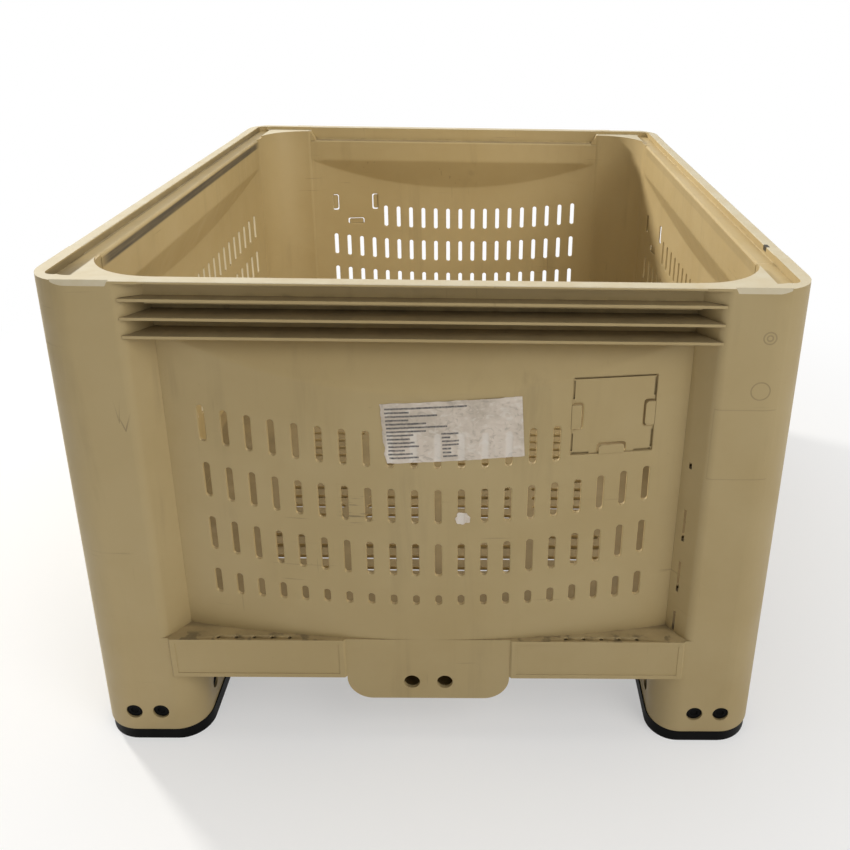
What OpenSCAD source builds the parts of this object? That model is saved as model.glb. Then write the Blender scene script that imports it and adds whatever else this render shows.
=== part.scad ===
// Vented bulk fruit bin: bowed slotted walls between four hollow corner posts,
// standing on two black runners. Millimetres, +Z up, +Y away from the front wall.
// The origin is on the ground, under the middle of the bin.

/* [Body] */
// Width over the corner posts, along X
bin_w = 1000; // [940:5:1100]
// Depth over the corner posts, along Y
bin_d = 1200; // [1120:5:1320]
// Height from the ground to the top of the rim
bin_h = 740; // [715:5:800]
// Wall thickness of the tan mouldings
wall_t = 6; // [4.5:0.5:7]

/* [Corner posts] */
// Side of a corner post, from the outer corner to the wall panel
post_w = 146; // [140:1:154]
// Radius of a post's outer corner
post_r = 57; // [48:1:60]
// Depth by which the wall panel's ends stand back from the post's face
recess_d = 36; // [30:1:40]
// Side of the leg between the floor and the foot
leg_w = 122; // [118:1:128]

/* [Feet] */
// Width of a corner foot across the runner
foot_w = 160; // [154:1:168]
// Length of a corner foot along the runner
foot_l = 210; // [190:5:240]
// Radius of a corner foot's corner beside the fork entry
foot_r = 45; // [38:1:50]
// Length of a middle foot along the runner
mid_foot_l = 230; // [200:5:260]

/* [Runners and pins] */
// Height of a black runner
runner_h = 20; // [16:1:26]
// Diameter of a pin hole in a foot
pin_hole_d = 24.5; // [22:0.5:26]
// Distance between the two pins of a pair
pin_gap = 40; // [34:1:44]
// Height of the pins above the ground
pin_z = 54; // [50:1:58]
// Length of a pin
pin_l = 38; // [32:1:42]
// Clearance of a pin in its hole, on the radius
pin_clear = 0.25; // [0.15:0.05:0.4]

/* [Base] */
// Height of the floor inside the bin above the ground
floor_z = 192; // [184:1:204]
// Height of a perimeter beam
beam_h = 68; // [60:1:72]
// Depth of a perimeter beam, from the post's face inwards
beam_d = 57; // [52:1:64]
// Amount by which the beams stand proud of the posts
beam_proud = 3; // [2:0.5:4]
// Width of the centre block at the front and rear
block_w = 240; // [220:2:260]
// Height of the centre block
block_h = 109; // [100:1:116]
// Depth of the centre block
block_d = 100; // [80:2:110]
// Diameter of the open holes in the centre block
block_hole_d = 23.5; // [20:0.5:26]
// Distance between the open holes in the centre block
block_hole_gap = 48.8; // [44:0.2:56]
// Size of one bay of the floor, between stiffening ribs
bay = 150; // [130:2:160]
// Slots across the floor in one bay
bay_slots = 5; // [3:1:5]

/* [Walls] */
// Drop from the rim to the top of the sloped shoulder
shoulder_drop = 78; // [76:1:90]
// Height of the sloped shoulder at the middle of a wall
shoulder_h = 73; // [60:1:80]
// Width of a vent slot
slot_w = 9.5; // [7:0.5:12]
// Length of a vent slot
slot_l = 54.5; // [44:0.5:60]
// Distance between slot columns
slot_pitch = 31.9; // [29:0.1:36]
// Distance between slot rows
row_pitch = 87.3; // [80:0.1:92]
// Drop from the rim to the top of the first slot row, at mid wall
row_drop = 207.5; // [200:0.5:215]
// Rise of a slot row from mid wall to the panel's ends
row_rise = 34; // [20:1:38]
// Height of the lowest slots above the floor
slot_low = 62; // [50:1:75]
// Plain panel beside the outer slot columns
slot_margin = 50; // [46:1:56]

/* [Rim and ribs] */
// Thickness of the rim's outer edge
lip_t = 3.5; // [3:0.5:6]
// Width of the rim on the front and rear walls
front_lip_w = 22; // [19:0.5:25]
// Width of the rim on the side walls
side_lip_w = 18; // [16:0.5:22]
// Drop from the rim to the ledge inside the front and rear walls
front_ledge_drop = 29; // [27:0.5:31]
// Drop from the rim to the stacking shelf inside the side walls
side_ledge_drop = 12; // [10:0.5:14]
// Drop from the rim to the corner plates
plate_drop = 7; // [5:0.5:8]
// Thickness of the corner plates
plate_t = 9; // [8:0.5:11]
// Number of ribs under the rim
rib_count = 3; // [2:1:3]
// Distance between ribs, and from the rim to the first rib
rib_pitch = 25; // [22:0.5:25]
// Thickness of a rib
rib_t = 5.5; // [4:0.5:7]

/* [Card holder] */
// Width of the card recess
card_w = 114; // [100:1:120]
// Height of the card recess
card_h = 115; // [100:1:118]
// Drop from the rim to the top of the card recess
card_drop = 130; // [126:1:134]
// Plain panel between the card recess and the post
card_margin = 46; // [40:1:52]
// Depth of the card recess
card_d = 3; // [2.5:0.25:3.5]
// Length of a card tab along the recess's edge
tab_l = 35; // [30:1:44]
// Reach of a card tab over the recess
tab_reach = 13; // [11:0.5:18]
// Thickness of a card tab
tab_t = 2.4; // [1.6:0.2:2.4]
// Open slit round the free edges of a card tab
tab_slit = 2.5; // [2:0.5:4]

/* [Labels] */
// Width of the paper label
label_w = 188; // [150:1:200]
// Height of the paper label
label_h = 90; // [70:1:95]
// Turn of the paper label on the wall, in degrees
label_turn = 3.6; // [0:0.2:6]
// Side of the torn sticker
sticker_w = 22; // [16:1:28]

/* [Hidden] */
$fn = 64;
bow_facets = 720;
// Overrun of every cut past the face that it opens
over = 10;
// Air between curved faces that lie against each other
air = 0.3;
half_w = bin_w / 2;
half_d = bin_d / 2;
front_half = half_w - post_w;
side_half = half_d - post_w;
return_r = recess_d / 2;
// Depth of the bow, just short of the recess, so that it ends below the upper wall
bow_d = recess_d - air;
tub_r = post_w - recess_d - wall_t;
plate_z = bin_h - plate_drop;
// The heights of Walls, Ribs and Card holder are for this height from the floor to the rim,
// and follow a taller or lower wall
standard_wall_h = 548;
height_scale = (bin_h - floor_z) / standard_wall_h;
shoulder_z = bin_h - shoulder_drop * height_scale;
first_row_z = bin_h - row_drop * height_scale;
row_step = row_pitch * height_scale;
slot_length = slot_l * height_scale;
rib_step = rib_pitch * height_scale;
// Top of the first rib, where the returns become shallow under the rim
rim_z = bin_h - rib_step + rib_t / 2;
card_height = card_h * height_scale;
beam_z = floor_z - beam_h;
block_r = 38;
hollow_y = recess_d + wall_t;

// Corner details
notch_start = 40.5;
notch_l = 66;
notch_ramp = 3.5;
notch_h = 6.5;
notch_d = 5.5;
groove_w = 27;
groove_start = 25;
ramp_l = 12;
vent_w = 2.6;
vent_inset = 9;
vent_drop = 364.5;
vent_flare = 12;
// Each vent's place, counted in slot rows, and its length
vents = [[-2, 52], [-1, 52], [0, 52], [1.115, 10]];

// Runner, upright and pin details
runner_side = 2;
runner_r = post_r - runner_side;
upright_x = [36, 136];
upright_y = [14, 96];
upright_top = 86;
pin_first = 56.5;
pin_sunk = 3;
side_pin_y = 66;
foot_back_r = 20;
mid_foot_r = 30;

// Beam, block and floor details
block_hole_up = 31;
beam_panel_border = 7;
beam_panel_d = 1;
drain_d = 7;
drain_y = 4;
drain_end = 48;
drain_pitch = 26;
drain_count = 5;
deck_rib_t = 5;
deck_slot_l_share = 0.73;

// Label places on the front wall
label_x = 36;
label_drop = 204;
sticker_x = 50;
sticker_drop = 340;
sticker_turn = 8;
paper_t = 0.4;
paper_gap = 0.1;

tan_colour = [0.76, 0.69, 0.52];
black_colour = [0.07, 0.07, 0.07];
paper_colour = [0.84, 0.83, 0.82];

// Radius of a wall's bow, from half its length and its depth
function bow_r(half_l) = (half_l * half_l + bow_d * bow_d) / (2 * bow_d);
// Turn of a return of this depth, from the post's face to its slope
function return_turn(depth) =
    atan2(depth - return_r, 2 * return_r) + asin(return_r / norm([2 * return_r, depth - return_r]));
// Number of slot columns that fit a wall, and the place of each
function slot_columns(half_l) = floor(2 * (half_l - slot_margin) / slot_pitch) + 1;
function column_x(half_l, i) = (i - (slot_columns(half_l) - 1) / 2) * slot_pitch;
// Number of slot rows between the first row and the lowest slots
slot_low_z = floor_z + slot_low * height_scale;
slot_rows = floor((first_row_z - slot_low_z) / row_step) + 1;
function row_top(half_l, row, x) =
    first_row_z - row * row_step + row_rise * height_scale * x * x / (half_l * half_l);
// Card recess: its middle along the wall, its middle height and its left edge
function card_x(half_l) = half_l - card_margin - card_w / 2;
card_z = bin_h - card_drop * height_scale - card_height / 2;
function card_left(half_l) = card_x(half_l) - card_w / 2;

// Placing

// Turns a wall's own frame (x along the wall, y inwards, z up) to one side of the bin:
// 0 front, 1 right, 2 rear, 3 left
module on_side(side) {
    rotate([0, 0, 90 * side])
        translate([0, side % 2 == 0 ? -half_d : -half_w, 0])
            children();
}

// Turns a corner's own frame (from its outer corner inwards) to one corner of the bin
module on_corner(right, rear) {
    mirror([right ? 1 : 0, 0, 0])
        mirror([0, rear ? 1 : 0, 0])
            translate([-half_w, -half_d, 0])
                children();
}

// Extrudes a y, z outline along x, evenly about the middle
module along_x(length) {
    rotate([90, 0, 90])
        linear_extrude(length, center = true)
            children();
}

// Extrudes an x, z outline inwards along y
module along_y(from_y, to_y) {
    translate([0, to_y, 0])
        rotate([90, 0, 0])
            linear_extrude(to_y - from_y)
                children();
}

// Flat shapes

// Upright slot with round ends, about its middle
module slot_shape(width, length) {
    square([width, length - width], center = true);
    for (end = [-1, 1])
        translate([0, end * (length - width) / 2])
            circle(d = width);
}

// Square with its outer corner, at the origin, rounded
module corner_shape(side, r) {
    difference() {
        square(side);
        difference() {
            square(r);
            translate([r, r]) circle(r);
        }
    }
}

// Rectangle w by l with a radius at each corner, counted from the origin anticlockwise
module round_rect(w, l, radii) {
    corners = [[0, 0], [w, 0], [w, l], [0, l]];
    turns = [0, 90, 180, 270];
    difference() {
        square([w, l]);
        for (i = [0 : 3])
            if (radii[i] > 0)
                translate(corners[i])
                    rotate(turns[i])
                        difference() {
                            square(radii[i]);
                            translate([radii[i], radii[i]]) circle(radii[i]);
                        }
    }
}

// The return between a post's front face and the end of the panel, as the air in front of it:
// a rounded edge, then a flat slope; grow takes the same line into the wall
module return_shape(depth, grow) {
    turn = return_turn(depth);
    bend_x = post_w - 2 * return_r;
    r = return_r - grow;
    difference() {
        polygon([
            [bend_x, 0], [post_w + air, 0], [post_w + air, depth + grow],
            [post_w - grow * tan(turn / 2), depth + grow],
            [bend_x + r * sin(turn), return_r - r * cos(turn)], [bend_x, return_r]
        ]);
        translate([bend_x, return_r]) circle(r);
    }
}

module both_returns(grow) {
    return_shape(recess_d, grow);
    mirror([1, -1]) return_shape(recess_d, grow);
}

// Shallow ends of the returns, between the first rib and the rim
module rim_returns() {
    return_shape(front_lip_w - wall_t, 0);
    mirror([1, -1]) return_shape(side_lip_w - wall_t, 0);
}

// The tub's own rounded corner, as the air inside it
module tub_corner(grow) {
    reach = tub_r + grow;
    intersection() {
        translate([post_w - reach, post_w - reach]) square(reach);
        translate([post_w, post_w]) circle(reach);
    }
}

// Hollow of a post, one wall in from every face
module post_hollow() {
    difference() {
        translate([wall_t, wall_t]) corner_shape(post_w - wall_t, post_r - wall_t);
        both_returns(wall_t);
        tub_corner(wall_t);
    }
}

// Walls

// Everything inside a wall's bow, moved inwards by y
module bow_cylinder(half_l, y, low_z, high_z) {
    translate([0, bow_r(half_l) + y, low_z])
        cylinder(r = bow_r(half_l), h = high_z - low_z, $fn = bow_facets);
}

// Everything inside the wall's outer face: a bow, cut by the sloped shoulder
module wall_solid(half_l, low_z, high_z) {
    slope = shoulder_h * height_scale / recess_d;
    inside_y = recess_d + post_w;
    intersection() {
        bow_cylinder(half_l, 0, low_z, high_z);
        along_x(2 * half_l)
            polygon([
                [-over, low_z], [inside_y, low_z], [inside_y, high_z], [recess_d, high_z],
                [recess_d, shoulder_z], [-over, shoulder_z - (recess_d + over) * slope]
            ]);
    }
}

// Bowed panel, shoulder and straight upper wall, one wall thick
module wall_shell(half_l, ledge_z) {
    difference() {
        wall_solid(half_l, floor_z, ledge_z);
        translate([0, wall_t, 0]) wall_solid(half_l, floor_z - over, ledge_z + over);
    }
}

// Ledge, lip and rim above the upper wall, with a ramp at each end of a low ledge
module wall_rim(half_l, lip_w, ledge_z) {
    along_x(2 * half_l) {
        translate([lip_w - wall_t, ledge_z - wall_t]) square([hollow_y - lip_w + wall_t, wall_t]);
        translate([lip_w - wall_t, ledge_z - wall_t]) square([wall_t, bin_h - ledge_z + wall_t]);
        translate([0, bin_h - lip_t]) square([lip_w, lip_t]);
    }
    groove_z = bin_h - side_ledge_drop;
    if (ledge_z < groove_z)
        for (end = [0, 1])
            mirror([end, 0, 0])
                along_y(lip_w, hollow_y)
                    polygon([[half_l, ledge_z], [half_l, plate_z], [half_l - ramp_l, ledge_z]]);
}

// Flat ribs between the posts, run out along the posts' returns
module wall_ribs(half_l, lip_w, ledge_z) {
    for (i = [1 : rib_count]) {
        z = bin_h - i * rib_step;
        meets_lip = z + rib_t / 2 > ledge_z - wall_t;
        back_y = meets_lip ? lip_w - wall_t / 2 : recess_d + wall_t / 2;
        translate([0, 0, z - rib_t / 2])
            linear_extrude(rib_t) {
                translate([-half_l, 0]) square([2 * half_l, back_y]);
                for (end = [0, 1])
                    mirror([end, 0])
                        translate([-half_l - post_w, 0])
                            return_shape(recess_d, -air);
            }
    }
}

// Pattern of vent slots: curved rows, level along the bottom, bare round the card recess
module slot_pattern(half_l) {
    for (row = [0 : slot_rows - 1], i = [0 : slot_columns(half_l) - 1]) {
        x = column_x(half_l, i);
        top = row_top(half_l, row, x);
        low = max(top - slot_length, slot_low_z);
        beside_card = row == 0 && x > card_left(half_l) - slot_w;
        if (top - low > slot_w && !beside_card)
            translate([x, (top + low) / 2]) slot_shape(slot_w, top - low);
    }
}

// Places a tab's outline on the card recess: 0 left edge, 1 bottom edge, 2 right edge
module on_card_edge(half_l, edge) {
    offset_to_edge = edge == 1 ? card_height / 2 : card_w / 2;
    translate([card_x(half_l), card_z])
        rotate(90 * edge)
            translate([-offset_to_edge, 0])
                children();
}

// Outline of a card tab, from its root at x 0
module tab_shape(grow) {
    reach = tab_reach + grow;
    length = tab_l + 2 * grow;
    r = tab_reach / 3;
    translate([0, -length / 2]) round_rect(reach, length, [0, r, r, 0]);
}

// Card recess, sunk into the bowed face, with a window behind each tab
module card_cut(half_l) {
    difference() {
        along_y(-over, recess_d)
            translate([card_x(half_l), card_z]) square([card_w, card_height], center = true);
        bow_cylinder(half_l, card_d, 0, bin_h);
    }
    along_y(-over, hollow_y + over)
        for (edge = [0 : 2])
            on_card_edge(half_l, edge) tab_shape(tab_slit);
}

module wall(half_l, lip_w, ledge_drop) {
    ledge_z = bin_h - ledge_drop;
    difference() {
        union() {
            wall_shell(half_l, ledge_z);
            wall_rim(half_l, lip_w, ledge_z);
            wall_ribs(half_l, lip_w, ledge_z);
        }
        along_y(-over, hollow_y + over) slot_pattern(half_l);
        card_cut(half_l);
    }
}

module front_wall() { color(tan_colour) on_side(0) wall(front_half, front_lip_w, front_ledge_drop); }
module right_wall() { color(tan_colour) on_side(1) wall(side_half, side_lip_w, side_ledge_drop); }
module rear_wall() { color(tan_colour) on_side(2) wall(front_half, front_lip_w, front_ledge_drop); }
module left_wall() { color(tan_colour) on_side(3) wall(side_half, side_lip_w, side_ledge_drop); }

// A thin piece that lies on a wall's bowed face, from out_y in front of it to in_y behind it
module on_bow(half_l, out_y, in_y) {
    intersection() {
        along_y(-over, recess_d) children();
        difference() {
            bow_cylinder(half_l, out_y, 0, bin_h);
            bow_cylinder(half_l, in_y, -over, bin_h + over);
        }
    }
}

module card_tab(side, edge) {
    half_l = side % 2 == 0 ? front_half : side_half;
    color(tan_colour)
        on_side(side)
            on_bow(half_l, 0, tab_t)
                on_card_edge(half_l, edge) tab_shape(0);
}

// Corner posts

// Shell of a corner foot: open below, closed under the beams
module corner_foot() {
    radii = [post_r, foot_r, foot_back_r, foot_back_r];
    inner_radii = [for (r = radii) r - wall_t];
    difference() {
        translate([0, 0, runner_h])
            linear_extrude(beam_z - runner_h) round_rect(foot_w, foot_l, radii);
        translate([wall_t, wall_t, runner_h - over])
            linear_extrude(beam_z - runner_h + over - wall_t)
                round_rect(foot_w - 2 * wall_t, foot_l - 2 * wall_t, inner_radii);
    }
}

// Pin holes of a corner foot: a pair in its end and one in its inner side
module foot_pin_places() {
    for (i = [0, 1])
        translate([pin_first + i * pin_gap, 0, pin_z]) rotate([-90, 0, 0]) children();
    translate([foot_w, side_pin_y, pin_z]) rotate([0, -90, 0]) children();
}

// Leg between the foot and the floor, with the floor's corner on top
module corner_leg() {
    plate_low = floor_z - wall_t;
    translate([0, 0, beam_z])
        linear_extrude(plate_low - beam_z)
            difference() {
                corner_shape(leg_w, post_r);
                translate([wall_t, wall_t]) corner_shape(leg_w - 2 * wall_t, post_r - wall_t);
            }
    translate([0, 0, plate_low])
        linear_extrude(wall_t)
            difference() {
                corner_shape(leg_w, post_r);
                post_hollow();
            }
}

// Upper post with its returns, closed at the rim
module corner_column() {
    translate([0, 0, floor_z])
        linear_extrude(rim_z - floor_z)
            difference() {
                corner_shape(post_w, post_r);
                both_returns(0);
                tub_corner(0);
                post_hollow();
            }
}

// Sloped notch in the front edge of a post's rim
module front_notch() {
    end = notch_start + notch_l;
    intersection() {
        along_y(-notch_d, 2 * notch_d)
            polygon([
                [notch_start, bin_h - notch_h], [end, bin_h - notch_h],
                [end + 2 * notch_ramp, bin_h + notch_h], [notch_start - 2 * notch_ramp, bin_h + notch_h]
            ]);
        translate([post_w / 2, 0, 0])
            along_x(post_w)
                polygon([
                    [-notch_d, bin_h - 2 * notch_h], [2 * notch_d, bin_h + notch_h],
                    [-notch_d, bin_h + notch_h]
                ]);
    }
}

// Corner plate under the rim, with the raised lips and the stacking groove
module corner_top() {
    difference() {
        union() {
            translate([0, 0, rim_z])
                linear_extrude(plate_z - rim_z)
                    difference() {
                        corner_shape(post_w, post_r);
                        tub_corner(0);
                    }
            translate([0, 0, plate_z])
                linear_extrude(plate_drop)
                    difference() {
                        corner_shape(post_w, post_r);
                        translate([side_lip_w, front_lip_w])
                            corner_shape(post_w, post_r - front_lip_w);
                    }
        }
        translate([0, 0, rim_z - over])
            linear_extrude(plate_z - plate_t - rim_z + over) post_hollow();
        translate([0, 0, rim_z - over])
            linear_extrude(bin_h - lip_t - rim_z + over) rim_returns();
        front_notch();
        translate([side_lip_w, groove_start, bin_h - side_ledge_drop])
            linear_extrude(side_ledge_drop + over)
                round_rect(groove_w, post_w, [groove_w / 2, groove_w / 2, 0, 0]);
    }
}

// Narrow vents through a post's front return, flared towards the tub
module return_vents() {
    side = vent_w / 2;
    face_y = recess_d - (vent_inset + side) * tan(return_turn(recess_d));
    back_y = hollow_y + over;
    for (vent = vents) {
        length = vent[1] * height_scale;
        z = bin_h - vent_drop * height_scale + vent[0] * row_step;
        translate([post_w - vent_inset, 0, z - length / 2])
            linear_extrude(length)
                polygon([
                    [-side, face_y - over], [side, face_y - over], [side, back_y],
                    [-side - vent_flare, back_y], [-side, face_y]
                ]);
    }
}

module corner_post(vented) {
    difference() {
        union() {
            corner_foot();
            corner_leg();
            corner_column();
            corner_top();
        }
        foot_pin_places() translate([0, 0, -over]) cylinder(d = pin_hole_d, h = wall_t + 2 * over);
        if (vented) return_vents();
    }
}

module front_left_post() { color(tan_colour) on_corner(false, false) corner_post(false); }
module front_right_post() { color(tan_colour) on_corner(true, false) corner_post(true); }
module rear_right_post() { color(tan_colour) on_corner(true, true) corner_post(false); }
module rear_left_post() { color(tan_colour) on_corner(false, true) corner_post(false); }

// Base

// Outline of a middle foot, rounded on the inside of the bin, or of its hollow
module middle_foot_plan(inset) {
    r = mid_foot_r - inset;
    translate([inset, inset])
        round_rect(mid_foot_l - 2 * inset, foot_w - 2 * inset, [0, 0, r, r]);
}

// Floor between the beams, less the legs, the centre blocks and the middle feet
module deck_plan() {
    difference() {
        square([bin_w - 2 * beam_d, bin_d - 2 * beam_d], center = true);
        for (x = [-1, 1], y = [-1, 1])
            translate([x * (half_w - leg_w / 2), y * (half_d - leg_w / 2)])
                square(leg_w, center = true);
        for (y = [-1, 1])
            translate([0, y * (half_d - block_d / 2)]) square([block_w, block_d], center = true);
        for (side = [1, -1])
            rotate(90 * side) translate([-mid_foot_l / 2, -half_w]) middle_foot_plan(0);
    }
}

// Stiffening ribs on the bays' lines
module deck_rib_lines() {
    columns = floor((half_w - beam_d) / bay);
    rows = floor((half_d - beam_d) / bay);
    for (i = [-columns : columns])
        translate([i * bay, 0]) square([deck_rib_t, bin_d], center = true);
    for (i = [-rows : rows])
        translate([0, i * bay]) square([bin_w, deck_rib_t], center = true);
}

// Slots across the floor, in even rows between the ribs
module deck_slots() {
    columns = ceil((half_w - foot_w) / bay) - 1;
    rows = floor((half_d - block_d) / bay * bay_slots) - 1;
    for (i = [-columns : columns - 1], j = [-rows : rows - 1])
        translate([(i + 1 / 2) * bay, (j + 1 / 2) * bay / bay_slots])
            rotate(90) slot_shape(slot_w, bay * deck_slot_l_share);
}

module base_deck() {
    color(tan_colour) {
        translate([0, 0, floor_z - wall_t])
            linear_extrude(wall_t)
                difference() {
                    deck_plan();
                    deck_slots();
                }
        translate([0, 0, beam_z])
            linear_extrude(beam_h - wall_t)
                intersection() {
                    deck_plan();
                    deck_rib_lines();
                }
    }
}

// Beam between two ends along a side: a channel, open below, proud of the posts, with
// drains in its top near the post
module beam(half_l, from_x, to_x) {
    end = from_x + to_x < 0 ? -1 : 1;
    difference() {
        translate([0, 0, beam_z])
            linear_extrude(beam_h)
                polygon([
                    [from_x, 0], [from_x + beam_proud, -beam_proud], [to_x - beam_proud, -beam_proud],
                    [to_x, 0], [to_x, beam_d], [from_x, beam_d]
                ]);
        translate([from_x + wall_t, wall_t, beam_z - over])
            cube([to_x - from_x - 2 * wall_t, beam_d - 2 * wall_t, beam_h - wall_t + over]);
        translate([from_x + beam_proud + beam_panel_border, -beam_proud - over, beam_z + beam_panel_border])
            cube([
                to_x - from_x - 2 * (beam_proud + beam_panel_border), over + beam_panel_d,
                beam_h - 2 * beam_panel_border
            ]);
        for (i = [0 : drain_count - 1])
            translate([end * (half_l - drain_end - i * drain_pitch), drain_y, floor_z - wall_t - over])
                cylinder(d = drain_d, h = wall_t + 2 * over);
    }
}

// The beam on the left or the right of a side's middle, as seen from outside
module side_beam(side, right_end) {
    half_l = side % 2 == 0 ? front_half : side_half;
    outer_x = (side % 2 == 0 ? half_w : half_d) - leg_w;
    inner_x = (side % 2 == 0 ? block_w : mid_foot_l) / 2;
    color(tan_colour)
        on_side(side)
            if (right_end) beam(half_l, inner_x, outer_x);
            else beam(half_l, -outer_x, -inner_x);
}

// Centre block under a front or rear wall, open at the back, with two open holes
module centre_block(side) {
    color(tan_colour)
        on_side(side)
            difference() {
                along_y(0, block_d)
                    translate([-block_w / 2, floor_z - block_h])
                        round_rect(block_w, block_h, [block_r, block_r, 0, 0]);
                along_y(wall_t, block_d + over)
                    translate([-block_w / 2 + wall_t, floor_z - block_h + wall_t])
                        round_rect(
                            block_w - 2 * wall_t, block_h - 2 * wall_t,
                            [block_r - wall_t, block_r - wall_t, 0, 0]
                        );
                for (x = [-1, 1])
                    translate([x * block_hole_gap / 2, -over, floor_z - block_h + block_hole_up])
                        rotate([-90, 0, 0]) cylinder(d = block_hole_d, h = wall_t + 2 * over);
            }
}

// Foot under the middle of a side wall, a shell that is open below
module middle_foot(side) {
    color(tan_colour)
        on_side(side)
            difference() {
                translate([-mid_foot_l / 2, 0, runner_h])
                    linear_extrude(floor_z - runner_h) middle_foot_plan(0);
                translate([-mid_foot_l / 2, 0, runner_h - over])
                    linear_extrude(floor_z - runner_h + over - wall_t) middle_foot_plan(wall_t);
                for (x = [-1, 1])
                    translate([x * pin_gap / 2, -over, pin_z])
                        rotate([-90, 0, 0]) cylinder(d = pin_hole_d, h = wall_t + 2 * over);
            }
}

module front_centre_block() { centre_block(0); }
module rear_centre_block() { centre_block(2); }
module left_middle_foot() { middle_foot(3); }
module right_middle_foot() { middle_foot(1); }

// Runners and pins

// Upright inside a corner foot, bored for its pins
module corner_upright() {
    difference() {
        translate([upright_x[0], upright_y[0], 0])
            cube([upright_x[1] - upright_x[0], upright_y[1] - upright_y[0], upright_top]);
        foot_pin_places() cylinder(d = pin_hole_d, h = pin_sunk + pin_l + air);
    }
}

// Upright inside a middle foot, in the left side's own frame
module middle_upright() {
    width = upright_x[1] - upright_x[0];
    difference() {
        translate([-width / 2, upright_y[0], 0])
            cube([width, upright_y[1] - upright_y[0], upright_top]);
        for (x = [-1, 1])
            translate([x * pin_gap / 2, 0, pin_z])
                rotate([-90, 0, 0]) cylinder(d = pin_hole_d, h = pin_sunk + pin_l + air);
    }
}

// Runner under the feet on the left, with its three uprights
module runner() {
    color(black_colour) {
        translate([-half_w + runner_side, -half_d + runner_side, 0])
            linear_extrude(runner_h)
                round_rect(
                    foot_w, bin_d - 2 * runner_side,
                    [runner_r, foot_r, foot_r, runner_r]
                );
        for (rear = [false, true]) on_corner(false, rear) corner_upright();
        on_side(3) middle_upright();
    }
}

module left_runner() { runner(); }
module right_runner() { mirror([1, 0, 0]) runner(); }

// Pin with a shallow dish in its head
module pin() {
    dish_d = pin_hole_d / 2;
    difference() {
        translate([0, 0, pin_sunk]) cylinder(d = pin_hole_d - 2 * pin_clear, h = pin_l);
        cylinder(d = dish_d, h = 2 * pin_sunk);
    }
}

module corner_pins(right, rear) { color(black_colour) on_corner(right, rear) foot_pin_places() pin(); }

module middle_pins(side) {
    color(black_colour)
        on_side(side)
            for (x = [-1, 1])
                translate([x * pin_gap / 2, 0, pin_z]) rotate([-90, 0, 0]) pin();
}

// Paper on the front wall
module product_label() {
    color(paper_colour)
        on_side(0)
            on_bow(front_half, -paper_t - paper_gap, -paper_gap)
                translate([label_x, bin_h - label_drop * height_scale])
                    rotate(label_turn) square([label_w, label_h], center = true);
}

module torn_sticker() {
    color(paper_colour)
        on_side(0)
            on_bow(front_half, -paper_t - paper_gap, -paper_gap)
                translate([sticker_x, bin_h - sticker_drop * height_scale])
                    rotate(sticker_turn) square(sticker_w, center = true);
}

front_wall();
right_wall();
rear_wall();
left_wall();
front_left_post();
front_right_post();
rear_right_post();
rear_left_post();
base_deck();
front_centre_block();
rear_centre_block();
left_middle_foot();
right_middle_foot();
side_beam(0, false);  // front_left_beam
side_beam(0, true);  // front_right_beam
side_beam(1, false);  // right_front_beam
side_beam(1, true);  // right_rear_beam
side_beam(2, false);  // rear_right_beam
side_beam(2, true);  // rear_left_beam
side_beam(3, false);  // left_rear_beam
side_beam(3, true);  // left_front_beam
left_runner();
right_runner();
corner_pins(false, false);  // front_left_pins
corner_pins(true, false);  // front_right_pins
corner_pins(true, true);  // rear_right_pins
corner_pins(false, true);  // rear_left_pins
middle_pins(3);  // left_middle_pins
middle_pins(1);  // right_middle_pins
card_tab(0, 0);  // front_card_tab_left
card_tab(0, 1);  // front_card_tab_bottom
card_tab(0, 2);  // front_card_tab_right
card_tab(1, 0);  // right_card_tab_left
card_tab(1, 1);  // right_card_tab_bottom
card_tab(1, 2);  // right_card_tab_right
card_tab(2, 0);  // rear_card_tab_left
card_tab(2, 1);  // rear_card_tab_bottom
card_tab(2, 2);  // rear_card_tab_right
card_tab(3, 0);  // left_card_tab_left
card_tab(3, 1);  // left_card_tab_bottom
card_tab(3, 2);  // left_card_tab_right
product_label();
torn_sticker();
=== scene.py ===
"""Looks of a vented bulk fruit bin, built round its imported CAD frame."""
import math

import bmesh
import bpy
import numpy as np
from bpy.props import FloatProperty, FloatVectorProperty, IntProperty, PointerProperty
from mathutils import Matrix, Vector, noise
from mathutils.geometry import delaunay_2d_cdt


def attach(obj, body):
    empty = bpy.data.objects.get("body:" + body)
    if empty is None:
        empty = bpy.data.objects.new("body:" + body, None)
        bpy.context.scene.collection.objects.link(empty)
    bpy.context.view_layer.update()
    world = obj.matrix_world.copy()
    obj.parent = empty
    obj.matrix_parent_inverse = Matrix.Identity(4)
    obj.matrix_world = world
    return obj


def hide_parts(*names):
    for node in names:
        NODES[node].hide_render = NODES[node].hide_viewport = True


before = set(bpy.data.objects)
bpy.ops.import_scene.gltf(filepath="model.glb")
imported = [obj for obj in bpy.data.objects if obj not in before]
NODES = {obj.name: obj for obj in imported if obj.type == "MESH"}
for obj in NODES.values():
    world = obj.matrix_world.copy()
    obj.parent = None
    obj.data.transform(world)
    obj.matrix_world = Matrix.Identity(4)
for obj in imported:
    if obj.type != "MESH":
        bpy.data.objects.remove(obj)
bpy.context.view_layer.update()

bl_info = {
    "name": "Fruit bin looks",
    "version": (1, 0, 0),
    "blender": (4, 5, 0),
    "location": "View3D > Sidebar > Fruit bin",
    "description": "Builds the walls, posts, base, runners, pins, tabs, papers and stage of a fruit bin",
    "category": "Object",
}

BIN = "bin"
MM = 0.001

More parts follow.
